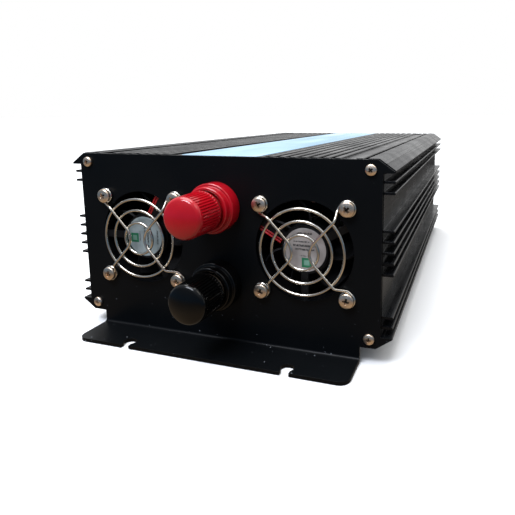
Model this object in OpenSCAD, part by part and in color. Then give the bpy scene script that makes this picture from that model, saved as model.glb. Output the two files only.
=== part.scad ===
// Power inverter: DC studs and twin fans at the front (-Y), AC outlets at the rear (+Y).
// Origin: centre of the four mounting slots, on the underside of the feet. +Z up, millimetres.

/* [Housing] */
// Length over the outer faces of the two end panels
body_l = 350; // [300:1:420]
// Width over the tips of the side fins
body_w = 204; // [196:1:250]
// Height of the housing, bottom to rib tops
body_h = 103; // [96:1:130]
// Height of the housing above the mounting surface
ground_gap = 9; // [6:0.5:16]
// Wall of the extruded housing, under the ribs
wall = 2.2; // [1.8:0.1:3]
// Depth of the side fins
fin_d = 6; // [4:0.5:8]
// Thickness of a side fin
fin_t = 1.4; // [1:0.1:2]
// Spacing of the side fins
fin_pitch = 5.9; // [5:0.1:7]
// Width of a rib on the broad faces
rib_w = 3.6; // [2.4:0.1:4.4]
// Spacing of those ribs
rib_pitch = 6.3; // [5.6:0.1:8]
// Height of those ribs
rib_h = 2.2; // [1:0.1:3]
// Width of the flat land that carries the label
land_w = 55; // [40:1:70]
// Width of the corner bevel
bevel_w = 8.5; // [6:0.5:12]
// Drop of the corner bevel
bevel_h = 6.1; // [4:0.1:9]

/* [End panels and feet] */
// Sheet thickness
sheet = 2; // [1.5:0.1:3]
// Inside radius of the foot's bend
bend_r = 1.6; // [1:0.1:3]
// Width of the foot
foot_w = 169; // [150:1:185]
// How far the foot stands out from the panel
foot_d = 25.6; // [22:0.1:34]
// Spacing of the two slots in one foot
slot_gap = 100; // [80:1:130]
// Radius of a slot's round end
slot_r = 3.75; // [3:0.05:4.2]
// Width of a slot's open neck
slot_neck = 5.2; // [4:0.1:5.6]
// Distance from the round end's centre to the edge of the foot
slot_in = 5.3; // [4.6:0.1:8]

/* [Fans] */
// Side of the square fan
fan_s = 60; // [60:1:70]
// Depth of the fan
fan_d = 25; // [20:1:32]
// Spacing of the fan's screw holes
fan_holes = 50; // [50:1:52]
// Distance from the centre plane to a fan's axis
fan_x = 52.5; // [50:0.5:58]
// Diameter of the panel's air opening
fan_open = 57; // [54:0.5:57.4]
// Thickness of the guard's wire
wire_d = 1.6; // [1.2:0.1:2]

/* [DC terminals] */
// Spacing of the two studs
stud_gap = 46; // [40:1:54]
// Diameter of the stud
stud_d = 8; // [6:0.5:8]
// Diameter of the insulating base
base_d = 29; // [26:0.5:32]
// Diameter of the knob at its skirt
knob_d = 23.4; // [20:0.2:26]
// Length of the knob
knob_l = 22; // [16:0.5:28]
// Travel of the clamp washer when the knob is unscrewed
clamp_travel = 5; // [3:0.5:6]

/* [Rear panel] */
// Side of an outlet's square face
outlet_s = 38; // [34:1:42]
// Distance of the outlets' axes from the centre plane
outlet_x = 58; // [52:1:64]
// Tilt of the rocker at rest
rocker_tilt = 10; // [6:1:12]

/* [Hidden] */
$fn = 48;
e = 0.02;
front = -body_l / 2;
rear = body_l / 2;
inner_front = front + sheet;
inner_rear = rear - sheet;
shell_l = body_l - 2 * sheet;
half_w = body_w / 2;
half_h = body_h / 2;
mid = ground_gap + half_h;
side_x = half_w - fin_d;                 // recessed outer face of the side wall
inner_x = side_x - wall;
rib_floor = half_h - rib_h;
inner_h = rib_floor - wall;              // inner face of the broad wall, from the mid-plane
floor_z = mid - inner_h;
ceiling_z = mid + inner_h;
ear_t = 1.2;                             // blunt tip of the bevelled corner
ear_under = half_h - bevel_h - ear_t;
tip_cut = 0.35;
seam = 1.2;                              // the joint line is this far off the mid-plane, either way
rail_h = 6.4;                            // height of the thick rail beside the joint
rail_x = side_x - 7;                     // inner face of that rail
tongue_t = 1;
tongue_l = 2;
tongue_x = side_x - 1.8;                 // middle of the tongue
tongue_gap = 0.1;
rib_first = 31.5;
rib_last_edge = half_w - 29;
rib_count = floor((rib_last_edge - rib_w - rib_first) / rib_pitch) + 1;
shallow = 1.2;                           // depth of the wide groove
corner_rib_x = half_w - 20.8;
corner_rib_w = 3.8;
corner_land_x = half_w - 14.4;
corner_land_end = half_w - bevel_w;
land_drop = 0.6;
port_x = half_w - 12.4;
port_h = half_h - 5.7;
port_r = 3.6;
pilot_r = 1.45;
fin_upper = [half_h - 12.1, half_h - 17.9];
group_mid = 1.75;                        // middle fin of the group, right-hand side

panel_inset = 0.3;
panel_top = mid + half_h - 0.4;
corner_hole_r = 1.9;
corner_head_r = 3.1;
corner_head_h = 2.1;
corner_shank_r = 1.4;
corner_screw_l = 12;

hub_r = 13.6;
label_r = 12.4;
rotor_r = 14.6;
blade_r = 27.8;
duct_r = 28.6;
fan_corner_r = 4;
fan_screw_r = 1.9;
fan_hole_r = 2.2;
fan_head_r = 4.3;
fan_head_h = 2.4;
fan_nut_r = 4.0;
fan_nut_h = 3.2;
hub_t = 2;
shaft_r = 1.5;
bearing_clear = 0.05;
blade_count = 7;
strut_w = 4.2;
strut_t = 2.6;
left_turn = -90;
lead_strut = 150;                        // the strut that carries the leads
strut_angles = [lead_strut, 270, 30];
lead_across = [2.9, 4.5];                // how far each lead lies from the middle of that strut

ring_radii = [9.7, 17.4, 24.2];
ring_y = front - 3.4;
wire_r = wire_d / 2;
joint_r = wire_r + 0.05;                 // small weld bead where two straight wires meet
spoke_y = ring_y - wire_d + 0.15;
eye_r = 4.1;
eye_y = front - joint_r;
guard_seat = eye_y - wire_r;              // face that the guard's screws press on
vertex_x = 6.5;
vertex_round = 5;
eye_lead = 3.7;                          // straight run beside the screw before the wire steps out
eye_reach = 9;                           // from the screw's axis to where the wire is straight again

stud_z = [mid - 1 + stud_gap / 2, mid - 1 - stud_gap / 2];
flange_l = 8.4;
collar_d = base_d - 3;
collar_l = 4.6;
cup_d = collar_d - 3.6;
cup_l = 2.6;
spigot_r = 6;
spigot_hole_r = 6.2;
stud_clear = 0.05;
boss_r = 8;
contact_y = front - flange_l - collar_l; // outer face of the stud's contact boss
washer_r = 10.2;
washer_t = 1.6;
insert_face = 1.6;
insert_r = 7.4;
knob_y = contact_y - washer_t - insert_face;   // rear edge of the knob's skirt
knob_tip_d = knob_d - 0.7;
stud_out = knob_y - knob_l + 5;
inner_washer_t = 3;
lug_t = 2;
nut_h = 6.5;
nut_r = 7.5;
stud_in = inner_front + inner_washer_t + lug_t + nut_h + 3;

board_t = 1.6;
standoff_h = 8;
board_z = floor_z + standoff_h;
board_top = board_z + board_t;
board_half_w = inner_x - 1.8;
board_front = inner_front + fan_d + 8;
board_rear = inner_rear - 38;
pad_t = 0.3;
mosfet_w = 10;
mosfet_t = 4.5;
mosfet_y = [for (i = [0 : 7]) -88 + 22 * i];
bar_t = 2;

copper = "peru";
nickel = "silver";
plate_black = [0.06, 0.06, 0.07];
plastic_black = [0.1, 0.1, 0.1];

// ---------- helpers ----------

// A profile drawn in X and Z, from y0 along +Y.
module section_y(y0, len) {
    translate([0, y0 + len, 0]) rotate([90, 0, 0]) linear_extrude(len) children();
}

// A round bar along +Y from y0.
module rod_y(x, y0, z, len, r) {
    translate([x, y0, z]) rotate([-90, 0, 0]) cylinder(h = len, r = r);
}

// A cone frustum along +Y from y0.
module cone_y(x, y0, z, len, r0, r1) {
    translate([x, y0, z]) rotate([-90, 0, 0]) cylinder(h = len, r1 = r0, r2 = r1);
}

// A hexagonal bar along +Y from y0.
module hex_y(x, y0, z, len, r) {
    translate([x, y0, z]) rotate([-90, 0, 0]) cylinder(h = len, r = r, $fn = 6);
}

// A round bar from point a to point b.
module bar(a, b, r) {
    d = b - a;
    l = norm(d);
    tilt = acos(d[2] / l);
    turn = atan2(d[1], d[0]);
    translate(a) rotate([0, tilt, turn]) cylinder(h = l, r = r);
}

// A box from its lowest corner to its highest.
module block(a, b) {
    translate(a) cube(b - a);
}

// A rectangle with round corners, centred.
module round_rect(w, h, r) {
    square([w - 2 * r, h], center = true);
    square([w, h - 2 * r], center = true);
    for (sx = [-1, 1], sy = [-1, 1]) translate([sx * (w / 2 - r), sy * (h / 2 - r)]) circle(r);
}

// Cross recess for a screwdriver, cut into a head whose outer face is at y, facing -Y for side = -1.
module cross_recess(x, y, z, side, size) {
    for (a = [0, 90]) translate([x, y, z]) rotate([0, a + 20, 0])
        cube([size, 2.4, size / 4.5], center = true);
}

// ---------- swept tubes ----------

function unit(v) = v / norm(v);
function at(p, i) = p[max(0, min(len(p) - 1, i))];
function spline_point(a, b, c, d, t) =
    0.5 * ((2 * b) + (c - a) * t + (2 * a - 5 * b + 4 * c - d) * t * t
    + (3 * b - a - 3 * c + d) * t * t * t);
function spline(p, n) = concat(
    [for (i = [0 : len(p) - 2]) for (k = [0 : n - 1])
        spline_point(at(p, i - 1), p[i], p[i + 1], at(p, i + 2), k / n)],
    [p[len(p) - 1]]);
function tangents(q) = [for (i = [0 : len(q) - 1]) unit(at(q, i + 1) - at(q, i - 1))];
function carried(t, s, i = 0) = i == len(t) ? []
    : let (u = unit(s - (s * t[i]) * t[i])) concat([u], carried(t, u, i + 1));

module tube(route, d, sides = 8, steps = 3) {
    q = spline(route, steps);
    t = tangents(q);
    u = carried(t, abs(t[0][0]) < 0.8 ? [1, 0, 0] : [0, 0, 1]);
    n = len(q);
    points = [for (i = [0 : n - 1]) for (k = [0 : sides - 1])
        q[i] + d / 2 * (cos(360 * k / sides) * u[i] + sin(360 * k / sides) * cross(t[i], u[i]))];
    walls = [for (i = [0 : n - 2]) for (k = [0 : sides - 1])
        [i * sides + k, (i + 1) * sides + k,
         (i + 1) * sides + (k + 1) % sides, i * sides + (k + 1) % sides]];
    start = [[for (k = [0 : sides - 1]) k]];
    end = [[for (k = [0 : sides - 1]) n * sides - 1 - k]];
    polyhedron(points = points, faces = concat(start, walls, end));
}

// ---------- housing ----------

// Outline of a rib between two groove floors, left to right.
function rib(x, w, floor_left, floor_right) = [
    [x, floor_left], [x, half_h - tip_cut], [x + tip_cut, half_h],
    [x + w - tip_cut, half_h], [x + w, half_h - tip_cut], [x + w, floor_right]
];
// Outline of a side fin on the right, from its upper root to its lower root.
function side_fin(h) = [
    [side_x, h + fin_t / 2], [half_w - tip_cut, h + fin_t / 2], [half_w, h + fin_t / 2 - tip_cut],
    [half_w, h - fin_t / 2 + tip_cut], [half_w - tip_cut, h - fin_t / 2], [side_x, h - fin_t / 2]
];
function mirrored(p) = [for (i = [len(p) - 1 : -1 : 0]) [-p[i][0], p[i][1]]];
function flat(l) = [for (a = l) for (b = a) b];

// The broad face from the label's land out to the corner bevel and in to the side wall, right half.
broad_right = concat(
    [[land_w / 2, half_h - land_drop], [land_w / 2, rib_floor]],
    flat([for (i = [0 : rib_count - 1])
        rib(rib_first + i * rib_pitch, rib_w, rib_floor,
            i == rib_count - 1 ? half_h - shallow : rib_floor)]),
    rib(corner_rib_x, corner_rib_w, half_h - shallow, rib_floor),
    [[corner_land_x, rib_floor], [corner_land_x, half_h], [corner_land_end, half_h],
     [half_w - tip_cut, half_h - bevel_h + tip_cut], [half_w, half_h - bevel_h],
     [half_w, ear_under + tip_cut], [half_w - tip_cut, ear_under], [side_x, ear_under]]
);
// Fins of the upper shell: three of the middle group on the right, two on the left.
fins_right = concat(fin_upper, [for (k = [2 : -1 : 0]) group_mid + k * fin_pitch]);
fins_left = concat(fin_upper, [for (k = [2 : -1 : 1]) -group_mid + k * fin_pitch]);

side_right = concat(flat([for (h = fins_right) side_fin(h)]), [
    [side_x, -seam],
    [tongue_x + tongue_t / 2, -seam], [tongue_x + tongue_t / 2, -seam - tongue_l],
    [tongue_x - tongue_t / 2, -seam - tongue_l], [tongue_x - tongue_t / 2, -seam],
    [rail_x, -seam], [rail_x, -seam + rail_h], [inner_x, -seam + rail_h + 3], [inner_x, inner_h]
]);
side_left = mirrored(concat(flat([for (h = fins_left) side_fin(h)]), [
    [side_x, seam],
    [tongue_x + tongue_t / 2 + tongue_gap, seam],
    [tongue_x + tongue_t / 2 + tongue_gap, seam + tongue_l + 2 * tongue_gap],
    [tongue_x - tongue_t / 2 - tongue_gap, seam + tongue_l + 2 * tongue_gap],
    [tongue_x - tongue_t / 2 - tongue_gap, seam],
    [rail_x, seam], [rail_x, seam + rail_h], [inner_x, seam + rail_h + 3], [inner_x, inner_h]
]));

module shell() {
    difference() {
        union() {
            section_y(inner_front, shell_l)
                polygon(concat(broad_right, side_right, side_left, mirrored(broad_right)));
            for (s = [-1, 1]) {
                rod_y(s * port_x, inner_front, port_h, shell_l, port_r);
                translate([s * (port_x + inner_x) / 2, 0, (port_h + inner_h) / 2])
                    cube([inner_x - port_x + 2 * port_r, shell_l, inner_h - port_h + 4], center = true);
            }
        }
        for (s = [-1, 1]) rod_y(s * port_x, inner_front - 1, port_h, shell_l + 2, pilot_r);
    }
}

module upper_housing() {
    color(plate_black) translate([0, 0, mid]) shell();
}

// The lower shell is the same extrusion turned over, with pilot holes for the clamp bars.
module lower_housing() {
    color(plate_black) difference() {
        translate([0, 0, mid]) rotate([0, 180, 0]) shell();
        for (s = [-1, 1], y = clamp_screw_y)
            translate([s * (rail_x - 1), y, clamp_screw_z(s)]) rotate([0, s * 90, 0])
                cylinder(h = 5.5, r = 1.25);
    }
}

module top_label() {
    color("lightskyblue") translate([0, 0, mid + half_h - land_drop + 0.1])
        cube([land_w - 5, shell_l - 2, 0.2], center = true);
}

// ---------- end panels ----------

panel_edge = [
    [corner_land_end - panel_inset, panel_top - mid],
    [half_w - panel_inset, half_h - bevel_h - panel_inset],
    [half_w - panel_inset, ear_under],
    [side_x - panel_inset, ear_under],
    [side_x - panel_inset, -ear_under],
    [half_w - panel_inset, -ear_under],
    [half_w - panel_inset, -half_h + bevel_h + panel_inset],
    [corner_land_end - panel_inset, -half_h + panel_inset]
];

// Foot sheet seen from above, with its bend at y = 0 and its edge at -foot_d.
module foot_outline() {
    corner = 6;
    difference() {
        union() {
            translate([-foot_w / 2, -foot_d + corner]) square([foot_w, foot_d - corner - bend_r]);
            translate([-foot_w / 2 + corner, -foot_d]) square([foot_w - 2 * corner, corner + e]);
            for (s = [-1, 1]) translate([s * (foot_w / 2 - corner), -foot_d + corner]) circle(corner);
        }
        for (s = [-1, 1]) translate([s * slot_gap / 2, -foot_d + slot_in]) {
            circle(slot_r);
            translate([-slot_neck / 2, -slot_in - 1]) square([slot_neck, slot_in + 1]);
        }
    }
}

// The panel with its foot, front face at y = 0 and looking towards -Y.
module panel_blank() {
    section_y(0, sheet) translate([0, mid]) polygon(concat(panel_edge, mirrored(panel_edge)));
    block([-foot_w / 2, 0, sheet + bend_r], [foot_w / 2, sheet, mid - half_h + 10]);
    translate([-foot_w / 2, -bend_r, sheet + bend_r]) rotate([90, 90, 90])
        rotate_extrude(angle = 90) translate([bend_r, 0]) square([sheet, foot_w]);
    linear_extrude(sheet) foot_outline();
}

module corner_holes() {
    for (sx = [-1, 1], sz = [-1, 1])
        rod_y(sx * port_x, -1, mid + sz * port_h, sheet + 2, corner_hole_r);
}

module front_panel() {
    color(plate_black) translate([0, front, 0]) difference() {
        panel_blank();
        corner_holes();
        for (s = [-1, 1]) {
            rod_y(s * fan_x, -1, mid, sheet + 2, fan_open / 2);
            for (sx = [-1, 1], sz = [-1, 1])
                rod_y(s * fan_x + sx * fan_holes / 2, -1, mid + sz * fan_holes / 2, sheet + 2, fan_hole_r);
        }
        for (z = stud_z) rod_y(0, -1, z, sheet + 2, spigot_hole_r);
    }
}

outlet_z = mid - 8;
outlet_hole = outlet_s - 6;
switch_z = mid + 16;
switch_w = 20;
switch_h = 26;
lamp_z = mid - 14;
lamp_x = [-9, 9];
ground_z = mid - 34;
vent_w = 3;
vent_l = 26;
vent_n = 11;
vent_pitch = 6.2;
vent_z = mid + half_h - 24;

// Slotted air outlet above each AC outlet.
module vents() {
    for (s = [-1, 1], i = [0 : vent_n - 1])
        translate([s * outlet_x + (i - (vent_n - 1) / 2) * vent_pitch, 0, vent_z]) {
            block([-vent_w / 2, -1, -vent_l / 2 + vent_w / 2], [vent_w / 2, sheet + 1, vent_l / 2 - vent_w / 2]);
            for (sz = [-1, 1]) rod_y(0, -1, sz * (vent_l - vent_w) / 2, sheet + 2, vent_w / 2);
        }
}

module rear_panel() {
    color(plate_black) translate([0, rear, 0]) rotate([0, 0, 180]) difference() {
        panel_blank();
        corner_holes();
        vents();
        for (s = [-1, 1])
            translate([s * outlet_x, sheet / 2, outlet_z]) cube([outlet_hole, sheet + 2, outlet_hole], center = true);
        translate([0, sheet / 2, switch_z]) cube([switch_w + 0.4, sheet + 2, switch_h + 0.4], center = true);
        for (x = lamp_x) rod_y(x, -1, lamp_z, sheet + 2, 2.6);
        rod_y(0, -1, ground_z, sheet + 2, 2.1);
    }
}

// Pan head screw: head's seat at y = 0, shank along +Y, head towards -Y.
module pan_screw(head_r, head_h, shank_r, shank_l) {
    difference() {
        union() {
            rod_y(0, -head_h * 0.55, 0, head_h * 0.55, head_r);
            cone_y(0, -head_h, 0, head_h * 0.45 + e, head_r * 0.72, head_r);
            rod_y(0, -e, 0, shank_l, shank_r);
        }
        cross_recess(0, -head_h, 0, -1, head_r * 1.15);
    }
}

module corner_screw_set() {
    for (sx = [-1, 1], sz = [-1, 1]) translate([sx * port_x, front, mid + sz * port_h])
        pan_screw(corner_head_r, corner_head_h, corner_shank_r, corner_screw_l);
}

module front_corner_screws() {
    color(nickel) corner_screw_set();
}

module rear_corner_screws() {
    color(nickel) rotate([0, 0, 180]) corner_screw_set();
}

// ---------- fan guards ----------

// One screw eye: the wire comes straight at the screw, steps aside and back, and wraps clockwise.
module guard_eye(sx, sz) {
    screw = [sx * fan_holes / 2, sz * fan_holes / 2];
    vertex = [sx * vertex_x, sz * vertex_round];
    d = unit(screw - vertex);
    phi = atan2(d[0], -d[1]);
    start = screw + eye_r * [cos(phi), sin(phi)];
    ramp_end = start - unit(start - vertex) * eye_lead;
    ramp_start = screw - d * eye_reach;
    translate([screw[0], eye_y, screw[1]]) rotate([90, 0, 0]) rotate([0, 0, phi - 295])
        rotate_extrude(angle = 295) translate([eye_r, 0]) circle(wire_r, $fn = 24);
    translate([start[0], eye_y, start[1]]) sphere(joint_r);
    bar([start[0], eye_y, start[1]], [ramp_end[0], eye_y, ramp_end[1]], wire_r);
    translate([ramp_end[0], eye_y, ramp_end[1]]) sphere(joint_r);
    bar([ramp_end[0], eye_y, ramp_end[1]], [ramp_start[0], spoke_y, ramp_start[1]], wire_r);
    translate([ramp_start[0], spoke_y, ramp_start[1]]) sphere(joint_r);
    bar([ramp_start[0], spoke_y, ramp_start[1]], [vertex[0], spoke_y, vertex[1]], wire_r);
    translate([vertex[0], spoke_y, vertex[1]]) sphere(joint_r);
}

module fan_guard() {
    for (r = ring_radii) translate([0, ring_y, 0]) rotate([90, 0, 0])
        rotate_extrude() translate([r, 0]) circle(wire_r, $fn = 24);
    for (sx = [-1, 1]) {
        for (sz = [-1, 1]) guard_eye(sx, sz);
        bar([sx * vertex_x, spoke_y, -vertex_round], [sx * (vertex_x - 1.4), spoke_y, -1.6], wire_r);
        bar([sx * (vertex_x - 1.4), spoke_y, -1.6], [sx * (vertex_x - 1.4), spoke_y, 1.6], wire_r);
        bar([sx * (vertex_x - 1.4), spoke_y, 1.6], [sx * vertex_x, spoke_y, vertex_round], wire_r);
        for (sz = [-1, 1]) translate([sx * (vertex_x - 1.4), spoke_y, sz * 1.6]) sphere(joint_r);
    }
}

module left_fan_guard() {
    color(nickel) translate([-fan_x, 0, mid]) fan_guard();
}

module right_fan_guard() {
    color(nickel) translate([fan_x, 0, mid]) fan_guard();
}

module fan_screw_set() {
    for (sx = [-1, 1], sz = [-1, 1])
        translate([sx * fan_holes / 2, guard_seat, sz * fan_holes / 2])
            pan_screw(fan_head_r, fan_head_h, fan_screw_r, inner_front + fan_d + fan_nut_h + 1 - guard_seat);
}

module left_fan_screws() {
    color(nickel) translate([-fan_x, 0, mid]) fan_screw_set();
}

module right_fan_screws() {
    color(nickel) translate([fan_x, 0, mid]) fan_screw_set();
}

module fan_nut_set() {
    for (sx = [-1, 1], sz = [-1, 1]) difference() {
        hex_y(sx * fan_holes / 2, inner_front + fan_d, sz * fan_holes / 2, fan_nut_h, fan_nut_r);
        rod_y(sx * fan_holes / 2, inner_front + fan_d - 1, sz * fan_holes / 2, fan_nut_h + 2,
            fan_screw_r + 0.05);
    }
}

module left_fan_nuts() {
    color(nickel) translate([-fan_x, 0, mid]) fan_nut_set();
}

module right_fan_nuts() {
    color(nickel) translate([fan_x, 0, mid]) fan_nut_set();
}

// ---------- fans ----------

// Motor base, struts and square duct; the strut side lies against the panel.
module fan_frame() {
    y0 = inner_front;
    flange_t = 4;
    difference() {
        union() {
            for (y = [y0, y0 + fan_d - flange_t]) section_y(y, flange_t) round_rect(fan_s, fan_s, fan_corner_r);
            rod_y(0, y0, 0, fan_d, fan_s / 2 - 0.1);
        }
        rod_y(0, y0 - 1, 0, fan_d + 2, duct_r);
        for (sx = [-1, 1], sz = [-1, 1])
            rod_y(sx * fan_holes / 2, y0 - 1, sz * fan_holes / 2, fan_d + 2, fan_hole_r);
        // way out for the leads, at the strut that carries them
        rotate([0, -lead_strut, 0]) block([duct_r - 2, y0 - 1, 1.8], [fan_s, y0 + 3.6, 5.8]);
    }
    difference() {
        union() {
            rod_y(0, y0 + 0.3, 0, hub_t, hub_r);
            for (a = strut_angles) rotate([0, -a, 0])
                block([hub_r - 1, y0 + 0.3, -strut_w / 2], [duct_r + 0.6, y0 + 0.3 + strut_t, strut_w / 2]);
            rod_y(0, y0 + 0.3, 0, fan_d - 8, 3.4);
        }
        rod_y(0, y0 + 1.6, 0, fan_d, shaft_r + bearing_clear);
    }
}

module left_fan_frame() {
    color(plastic_black) translate([-fan_x, 0, mid]) rotate([0, -left_turn, 0]) fan_frame();
}

module right_fan_frame() {
    color(plastic_black) translate([fan_x, 0, mid]) fan_frame();
}

// Laminated core with four wound poles and its small circuit board.
module fan_stator() {
    y0 = inner_front + 0.3 + hub_t;
    difference() {
        union() {
            rod_y(0, y0 + 0.2, 0, 1, 11.5);
            rod_y(0, y0 + 1, 0, 11, 5.4);
            for (a = [0 : 90 : 270]) rotate([0, a + 45, 0]) {
                block([4, y0 + 3, -1.6], [9.4, y0 + 10, 1.6]);
                block([5.6, y0 + 2.2, -2.9], [8.8, y0 + 10.8, 2.9]);
                intersection() {
                    rod_y(0, y0 + 3, 0, 7, 11.4);
                    block([9.3, y0 + 2, -6], [12, y0 + 11, 6]);
                }
            }
        }
        rod_y(0, y0 - 1, 0, 16, 3.4);
    }
}

module left_fan_stator() {
    color(copper) translate([-fan_x, 0, mid]) rotate([0, -left_turn, 0]) fan_stator();
}

module right_fan_stator() {
    color(copper) translate([fan_x, 0, mid]) fan_stator();
}

// Hub cup with its shaft and swept blades.
module fan_rotor() {
    cup_front = inner_front + 0.3 + hub_t + 0.9;
    cup_rear = inner_front + fan_d - 1.4;
    difference() {
        union() {
            rod_y(0, cup_front, 0, cup_rear - cup_front, rotor_r);
            intersection() {
                union() for (i = [0 : blade_count - 1]) rotate([0, i * 360 / blade_count, 0])
                    translate([20, (cup_front + cup_rear) / 2, 0]) rotate([38, 0, 0])
                        cube([20, 26, 1.1], center = true);
                difference() {
                    rod_y(0, cup_front + 0.6, 0, cup_rear - cup_front - 1, blade_r);
                    rod_y(0, cup_front, 0, cup_rear - cup_front, rotor_r - 1);
                }
            }
        }
        rod_y(0, cup_front - 1, 0, cup_rear - cup_front - 0.6, rotor_r - 1.6);
    }
    rod_y(0, inner_front + 3.1, 0, cup_rear - inner_front - 3.4, shaft_r);
}

module left_fan_rotor() {
    color(plastic_black) translate([-fan_x, 0, mid]) fan_rotor();
}

module right_fan_rotor() {
    color(plastic_black) translate([fan_x, 0, mid]) fan_rotor();
}

module fan_label() {
    rod_y(0, inner_front + 0.15, 0, 0.15, label_r);
}

module left_fan_label() {
    color("gainsboro") translate([-fan_x, 0, mid]) fan_label();
}

module right_fan_label() {
    color("gainsboro") translate([fan_x, 0, mid]) fan_label();
}

// Supply leads: along the strut, out through the duct's notch, back past the fan and down to the board.
// Points are [outwards along the strut, depth behind the panel, across the strut], then row positions.
lead_d = 1.3;
lead_start = 14;
function strut_point(cx, a, out, y, across) = [
    cx + out * cos(a) - across * sin(a), inner_front + y, mid + out * sin(a) + across * cos(a)
];
function lead_route(cx, a, across, end) = concat(
    [for (out = [lead_start, 18, 23, 28, 31.5]) strut_point(cx, a, out, 0.9, across)],
    [strut_point(cx, a, 33.5, 1.7, across)],
    [for (depth = [4, 8, 14, 22, 29]) strut_point(cx, a, 34.3, depth, across)],
    end
);
right_lead_end = [[25, board_front + 2, mid + 3], [30, board_front + 7, mid - 14],
    [34, board_front + 10, board_top + 10], [34, board_front + 10, board_top]];
left_lead_end = [[-36, board_front + 3, mid + 16], [-33, board_front + 7, mid - 4],
    [-30, board_front + 10, board_top + 12], [-30, board_front + 10, board_top]];
lead_shift = [-2, 0, 0];                 // from the red lead to the black one, at the board

function shifted(p, d) = [for (q = p) q + d];

module left_fan_leads() {
    a = lead_strut + left_turn;
    color("red") tube(lead_route(-fan_x, a, lead_across[0], left_lead_end), lead_d, 8, 2);
    color("black") tube(lead_route(-fan_x, a, lead_across[1], shifted(left_lead_end, lead_shift)), lead_d, 8, 2);
}

module right_fan_leads() {
    a = lead_strut;
    color("red") tube(lead_route(fan_x, a, lead_across[0], right_lead_end), lead_d, 8, 2);
    color("black") tube(lead_route(fan_x, a, lead_across[1], shifted(right_lead_end, lead_shift)), lead_d, 8, 2);
}

// ---------- DC terminals ----------

// Insulating base: flange, collar with a cup, and a spigot through the panel.
module terminal_base(z) {
    difference() {
        union() {
            rod_y(0, front - flange_l, z, flange_l, base_d / 2);
            rod_y(0, front - flange_l - collar_l, z, collar_l + e, collar_d / 2);
            rod_y(0, front - e, z, sheet + e, spigot_r);
        }
        rod_y(0, front - flange_l - collar_l - 1, z, cup_l + 1, cup_d / 2);
        rod_y(0, front - flange_l - collar_l, z, flange_l + collar_l + sheet + 1, stud_d / 2 + stud_clear);
    }
}

module red_terminal_base() {
    color("firebrick") terminal_base(stud_z[0]);
}

module black_terminal_base() {
    color(plastic_black) terminal_base(stud_z[1]);
}

// Stud with the round boss that a cable lug is clamped against.
module terminal_stud(z) {
    rod_y(0, stud_out, z, stud_in - stud_out, stud_d / 2);
    rod_y(0, contact_y, z, cup_l, boss_r);
}

module red_terminal_stud() {
    color("goldenrod") terminal_stud(stud_z[0]);
}

module black_terminal_stud() {
    color("goldenrod") terminal_stud(stud_z[1]);
}

module clamp_washer(z) {
    difference() {
        rod_y(0, contact_y - washer_t, z, washer_t, washer_r);
        rod_y(0, contact_y - washer_t - 1, z, washer_t + 2, stud_d / 2 + stud_clear);
    }
}

module red_clamp_washer() {
    color(nickel) clamp_washer(stud_z[0]);
}

module black_clamp_washer() {
    color(nickel) clamp_washer(stud_z[1]);
}

insert_l = 14;

module knob_insert(z) {
    difference() {
        rod_y(0, knob_y - insert_l + insert_face, z, insert_l, insert_r);
        rod_y(0, knob_y - insert_l, z, insert_l + insert_face + 1, stud_d / 2 + stud_clear);
    }
}

module red_knob_insert() {
    color("goldenrod") knob_insert(stud_z[0]);
}

module black_knob_insert() {
    color("goldenrod") knob_insert(stud_z[1]);
}

flute_n = 44;
flute_r = 0.62;
flute_l = knob_l - 4.5;

// Fluted cap with a domed end, moulded round the insert.
module knob(z) {
    difference() {
        translate([0, knob_y, z]) rotate([90, 0, 0]) rotate_extrude() polygon([
            [0, 0], [knob_d / 2 - 0.4, 0], [knob_d / 2, 0.4], [knob_tip_d / 2, knob_l - 2.2],
            [knob_tip_d / 2 - 0.25, knob_l - 1.2], [knob_tip_d / 2 - 0.9, knob_l - 0.45],
            [knob_tip_d / 2 - 1.9, knob_l], [knob_tip_d / 2 - 5, knob_l + 0.5], [0, knob_l + 0.8]
        ]);
        rod_y(0, knob_y - insert_l + insert_face, z, insert_l + 1, insert_r);
        rod_y(0, stud_out - 1.5, z, knob_y - stud_out, stud_d / 2 + 0.3);
        for (i = [0 : flute_n - 1]) translate([0, 0, z]) rotate([0, i * 360 / flute_n, 0])
            translate([knob_d / 2 + 0.1, knob_y + 0.5, 0]) rotate([90, 0, 0])
                cylinder(h = flute_l, r = flute_r, $fn = 4);
    }
}

module red_knob() {
    color("crimson") knob(stud_z[0]);
}

module black_knob() {
    color(plastic_black) knob(stud_z[1]);
}

module stud_insulators() {
    color(plastic_black) for (z = stud_z) difference() {
        rod_y(0, inner_front, z, inner_washer_t, 10);
        rod_y(0, inner_front - 1, z, inner_washer_t + 2, stud_d / 2 + stud_clear);
    }
}

lug_y = inner_front + inner_washer_t;
lug_turn = [40, 140];
barrel_r = 4.4;
cable_d = 7;
barrel_l = 13;
function lug_point(i, out) = [
    sin(lug_turn[i]) * (i == 0 ? 1 : -1) * out, lug_y + lug_t + 1.6, stud_z[i] - cos(lug_turn[i]) * out
];

// Ring with a crimped barrel, turned to the side on which its cable leaves.
module cable_lugs() {
    color(nickel) for (i = [0, 1]) difference() {
        union() {
            rod_y(0, lug_y, stud_z[i], lug_t, 8.4);
            bar(lug_point(i, 9), lug_point(i, 9 + barrel_l), barrel_r - 0.6);
        }
        rod_y(0, lug_y - 1, stud_z[i], lug_t + 20, stud_d / 2 + stud_clear);
        rod_y(0, lug_y + lug_t, stud_z[i], 20, 8.3);
        block([-30, lug_y - 20, stud_z[i] - 40], [30, lug_y, stud_z[i] + 40]);
    }
}

module stud_nuts() {
    color("goldenrod") for (z = stud_z) difference() {
        hex_y(0, lug_y + lug_t, z, nut_h, nut_r);
        rod_y(0, lug_y, z, nut_h + lug_t + 1, stud_d / 2 + stud_clear);
    }
}

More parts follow.
